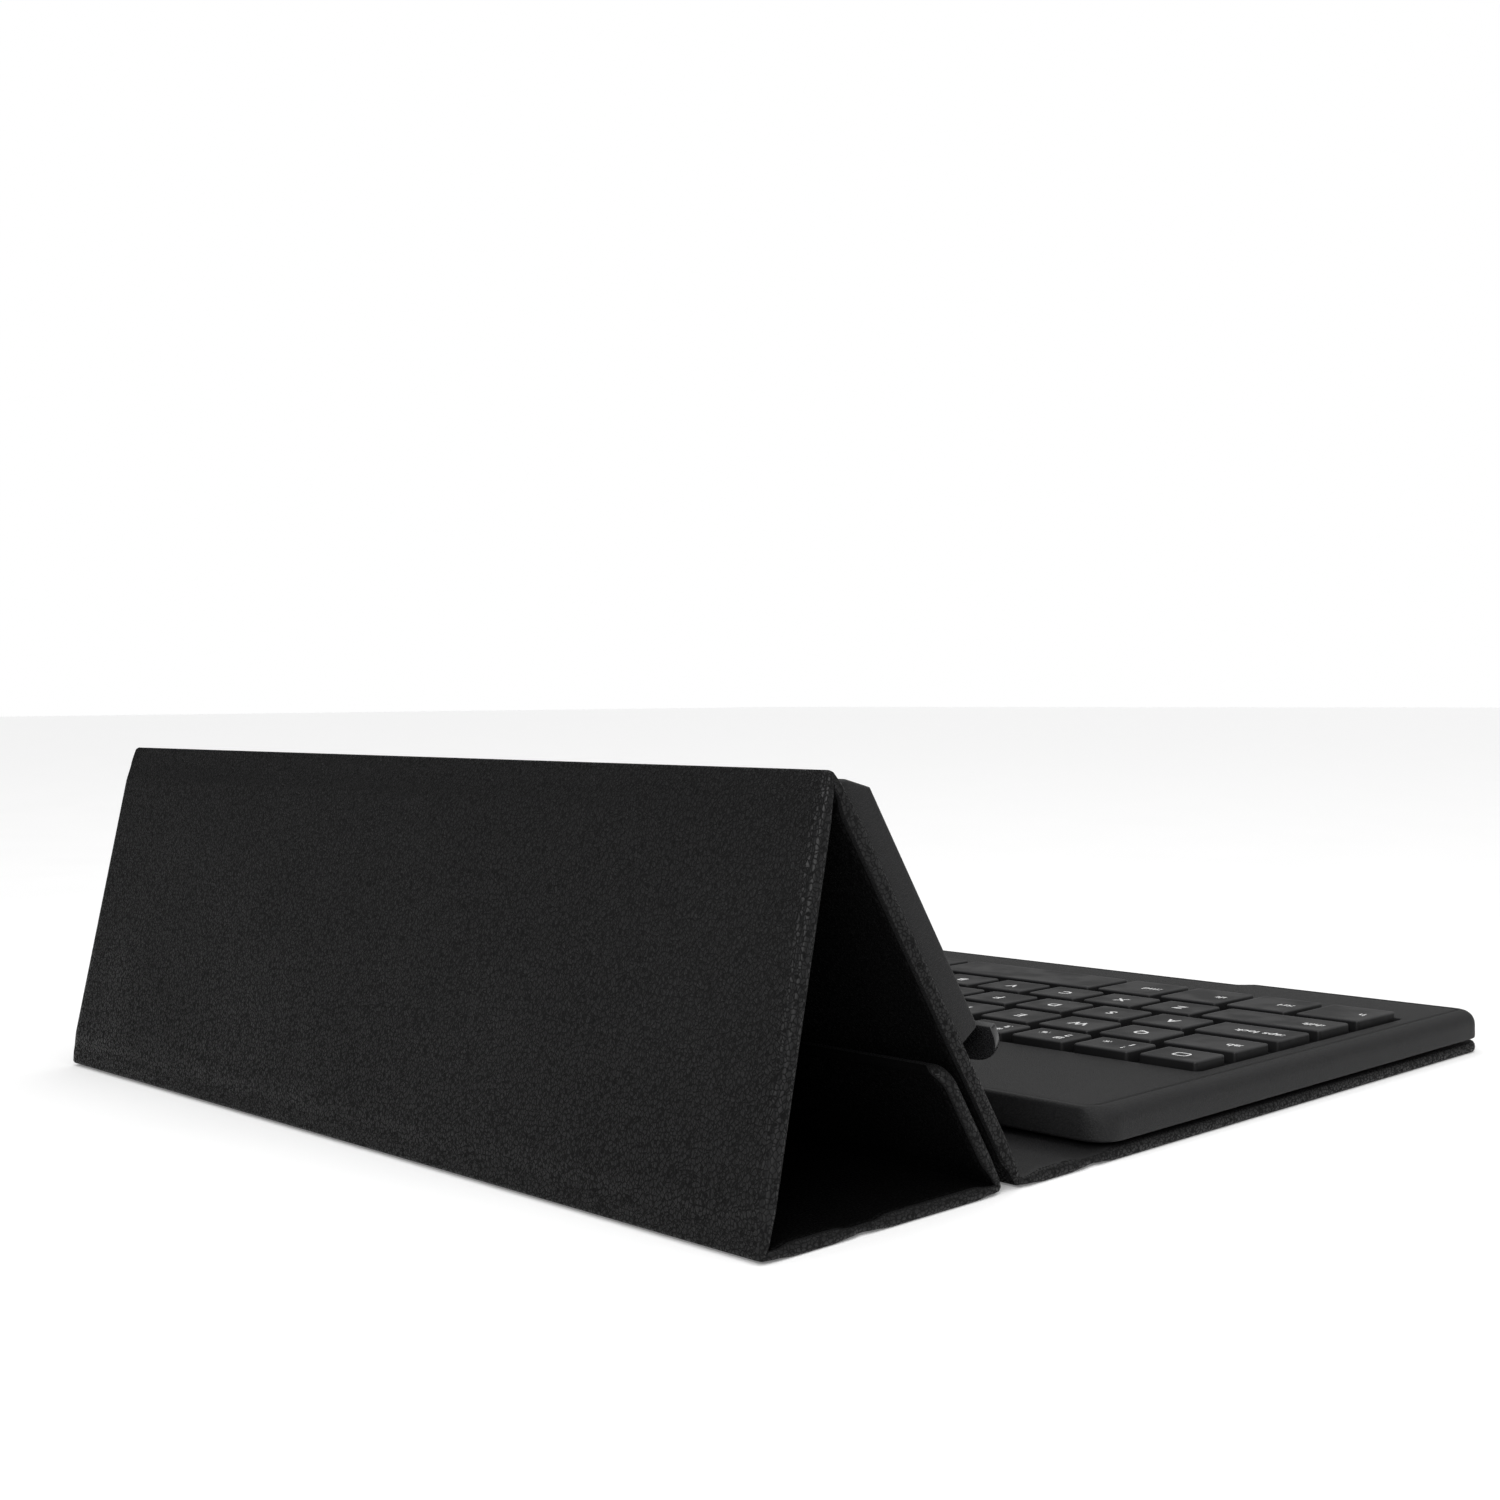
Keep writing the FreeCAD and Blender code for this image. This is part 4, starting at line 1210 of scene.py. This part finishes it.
def softened(name, node, material, body, width, angle=30.0, segments=3):
    """A CAD node's shape again, with its sharp edges rounded off."""
    mesh = frame["nodes"][node].data.copy()
    mesh.name = name
    bm = bmesh.new()
    bm.from_mesh(mesh)
    bmesh.ops.remove_doubles(bm, verts=bm.verts, dist=2e-6)
    bmesh.ops.dissolve_limit(bm, angle_limit=math.radians(2.0), verts=bm.verts, edges=bm.edges)
    sharp = [e for e in bm.edges if len(e.link_faces) == 2 and e.calc_face_angle() > math.radians(angle)]
    bmesh.ops.bevel(bm, geom=sharp, offset=width * MM, segments=segments, profile=0.5, affect="EDGES",
                    clamp_overlap=True)
    bmesh.ops.recalc_face_normals(bm, faces=bm.faces)
    bm.to_mesh(mesh)
    bm.free()
    mesh.materials.clear()
    mesh.materials.append(material)
    mesh.attributes.new("edge", "FLOAT", "POINT")
    mesh.shade_smooth()
    mesh.set_sharp_from_angle(angle=math.radians(40.0))
    piece = added(name, mesh)
    return settle(piece, body, [node])


softened("tray_lip", "tray_bottom_channel", GLOSS, "holder", 0.35)

# ---- CAD nodes that keep their own shape ----

BOARD = fibreboard()
STEEL = brushed_metal("screw_steel", (0.30, 0.30, 0.31), (0.46, 0.46, 0.47), 0.3, 0.45)
NICKEL = brushed_metal("socket_metal", (0.50, 0.50, 0.52), (0.66, 0.66, 0.68), 0.2, 0.32)
MAGNET = brushed_metal("magnet_nickel", (0.55, 0.54, 0.52), (0.70, 0.69, 0.67), 0.15, 0.25)
FOIL = brushed_metal("battery_foil", (0.55, 0.55, 0.57), (0.70, 0.70, 0.72), 0.35, 0.5)
CARRIED = {
    "front_cover_board": BOARD,
    "holder_board": BOARD,
    "rear_stand_board": BOARD,
    "holder_magnets": MAGNET,
    "flap_tip_magnets": MAGNET,
    "keyboard_mounting_pads": pad_felt(),
    "dome_sheet": dome_rubber(),
    "circuit_board": circuit_lacquer(),
    "battery_cell": FOIL,
    "charging_socket": NICKEL,
    "case_screws": STEEL,
    "key_frame": MATT,
    "power_switch": PLASTIC,
}
for node, material in CARRIED.items():
    mesh = frame["nodes"][node].data
    mesh.materials.clear()
    mesh.materials.append(material)

# ---- Floor and light ----


FLOOR_GLOW = 0.15


def studio_floor():
    n = Nodes("studio_floor")
    grain = n.noise(n.mm, 0.02, 3.0)
    colour = n.mixed(grain, (0.90, 0.90, 0.90), (0.93, 0.93, 0.93))
    n.shader.inputs["Emission Color"].default_value = (1.0, 1.0, 1.0, 1.0)
    n.shader.inputs["Emission Strength"].default_value = FLOOR_GLOW
    n.finish(colour, n.spread(grain, 0.3, 0.7, 0.75, 0.85), specular=0.2)
    mesh = bpy.data.meshes.new("floor")
    reach = 8.0
    mesh.from_pydata([(-reach, -reach, 0), (reach, -reach, 0), (reach, reach, 0), (-reach, reach, 0)], [],
                     [(0, 1, 2, 3)])
    mesh.materials.append(n.material)
    floor = added("floor", mesh)
    floor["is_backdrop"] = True


def softbox(name, place, target, size, power):
    data = bpy.data.lights.new(name, "AREA")
    data.shape = "RECTANGLE"
    data.size, data.size_y = size
    data.energy = power
    lamp = added(name, data)
    lamp.location = place
    lamp.rotation_euler = (Vector(target) - Vector(place)).to_track_quat("-Z", "Y").to_euler()


DARK_SIDE = (0.80, 0.55, 0.12)         # the studio's dim corner, as a direction from the case
ROOM_BRIGHT = 0.52
ROOM_DIM = 0.02
ROOF_EXTRA = 1.0


def studio_air():
    """White to the camera; to the case, a room with a bright ceiling and one dim corner."""
    world = bpy.data.worlds.new("world")
    bpy.context.scene.world = world
    world.use_nodes = True
    tree = world.node_tree
    nodes, links = tree.nodes, tree.links

    def ramp(source, *ends):
        node = nodes.new("ShaderNodeMapRange")
        node.interpolation_type = "SMOOTHSTEP"
        links.new(source, node.inputs["Value"])
        for key, number in zip(("From Min", "From Max", "To Min", "To Max"), ends):
            node.inputs[key].default_value = number
        return node.outputs["Result"]

    toward = nodes.new("ShaderNodeTexCoord").outputs["Generated"]
    aim = nodes.new("ShaderNodeVectorMath")
    aim.operation = "DOT_PRODUCT"
    aim.inputs[1].default_value = Vector(DARK_SIDE).normalized()
    links.new(toward, aim.inputs[0])
    height = nodes.new("ShaderNodeSeparateXYZ")
    links.new(toward, height.inputs[0])
    light = nodes.new("ShaderNodeMath")
    light.operation = "ADD"
    links.new(ramp(aim.outputs["Value"], 0.05, 0.65, ROOM_BRIGHT, ROOM_DIM), light.inputs[0])
    links.new(ramp(height.outputs["Z"], 0.5, 0.9, 0.0, ROOF_EXTRA), light.inputs[1])
    seen = nodes.new("ShaderNodeLightPath")
    pick = nodes.new("ShaderNodeMix")
    pick.data_type = "FLOAT"
    links.new(seen.outputs["Is Camera Ray"], pick.inputs[0])
    links.new(light.outputs[0], pick.inputs[2])
    pick.inputs[3].default_value = 1.0
    background = nodes["Background"]
    background.inputs["Color"].default_value = (1, 1, 1, 1)
    links.new(pick.outputs[0], background.inputs["Strength"])


studio_floor()
studio_air()
softbox("overhead", (0.0, 0.1, 1.4), (0, 0, 0), (1.4, 1.4), 2.0)
softbox("rear_light", (-0.33, 0.46, 0.26), (-0.12, 0.1, 0.04), (0.26, 0.2), 1.7)
bpy.context.scene.view_settings.view_transform = "Standard"

# ---- The sizes, and the end ----

boxes = {"cad": [list(corner) for corner in CAD_BOX], "visual": [list(corner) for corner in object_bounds()]}
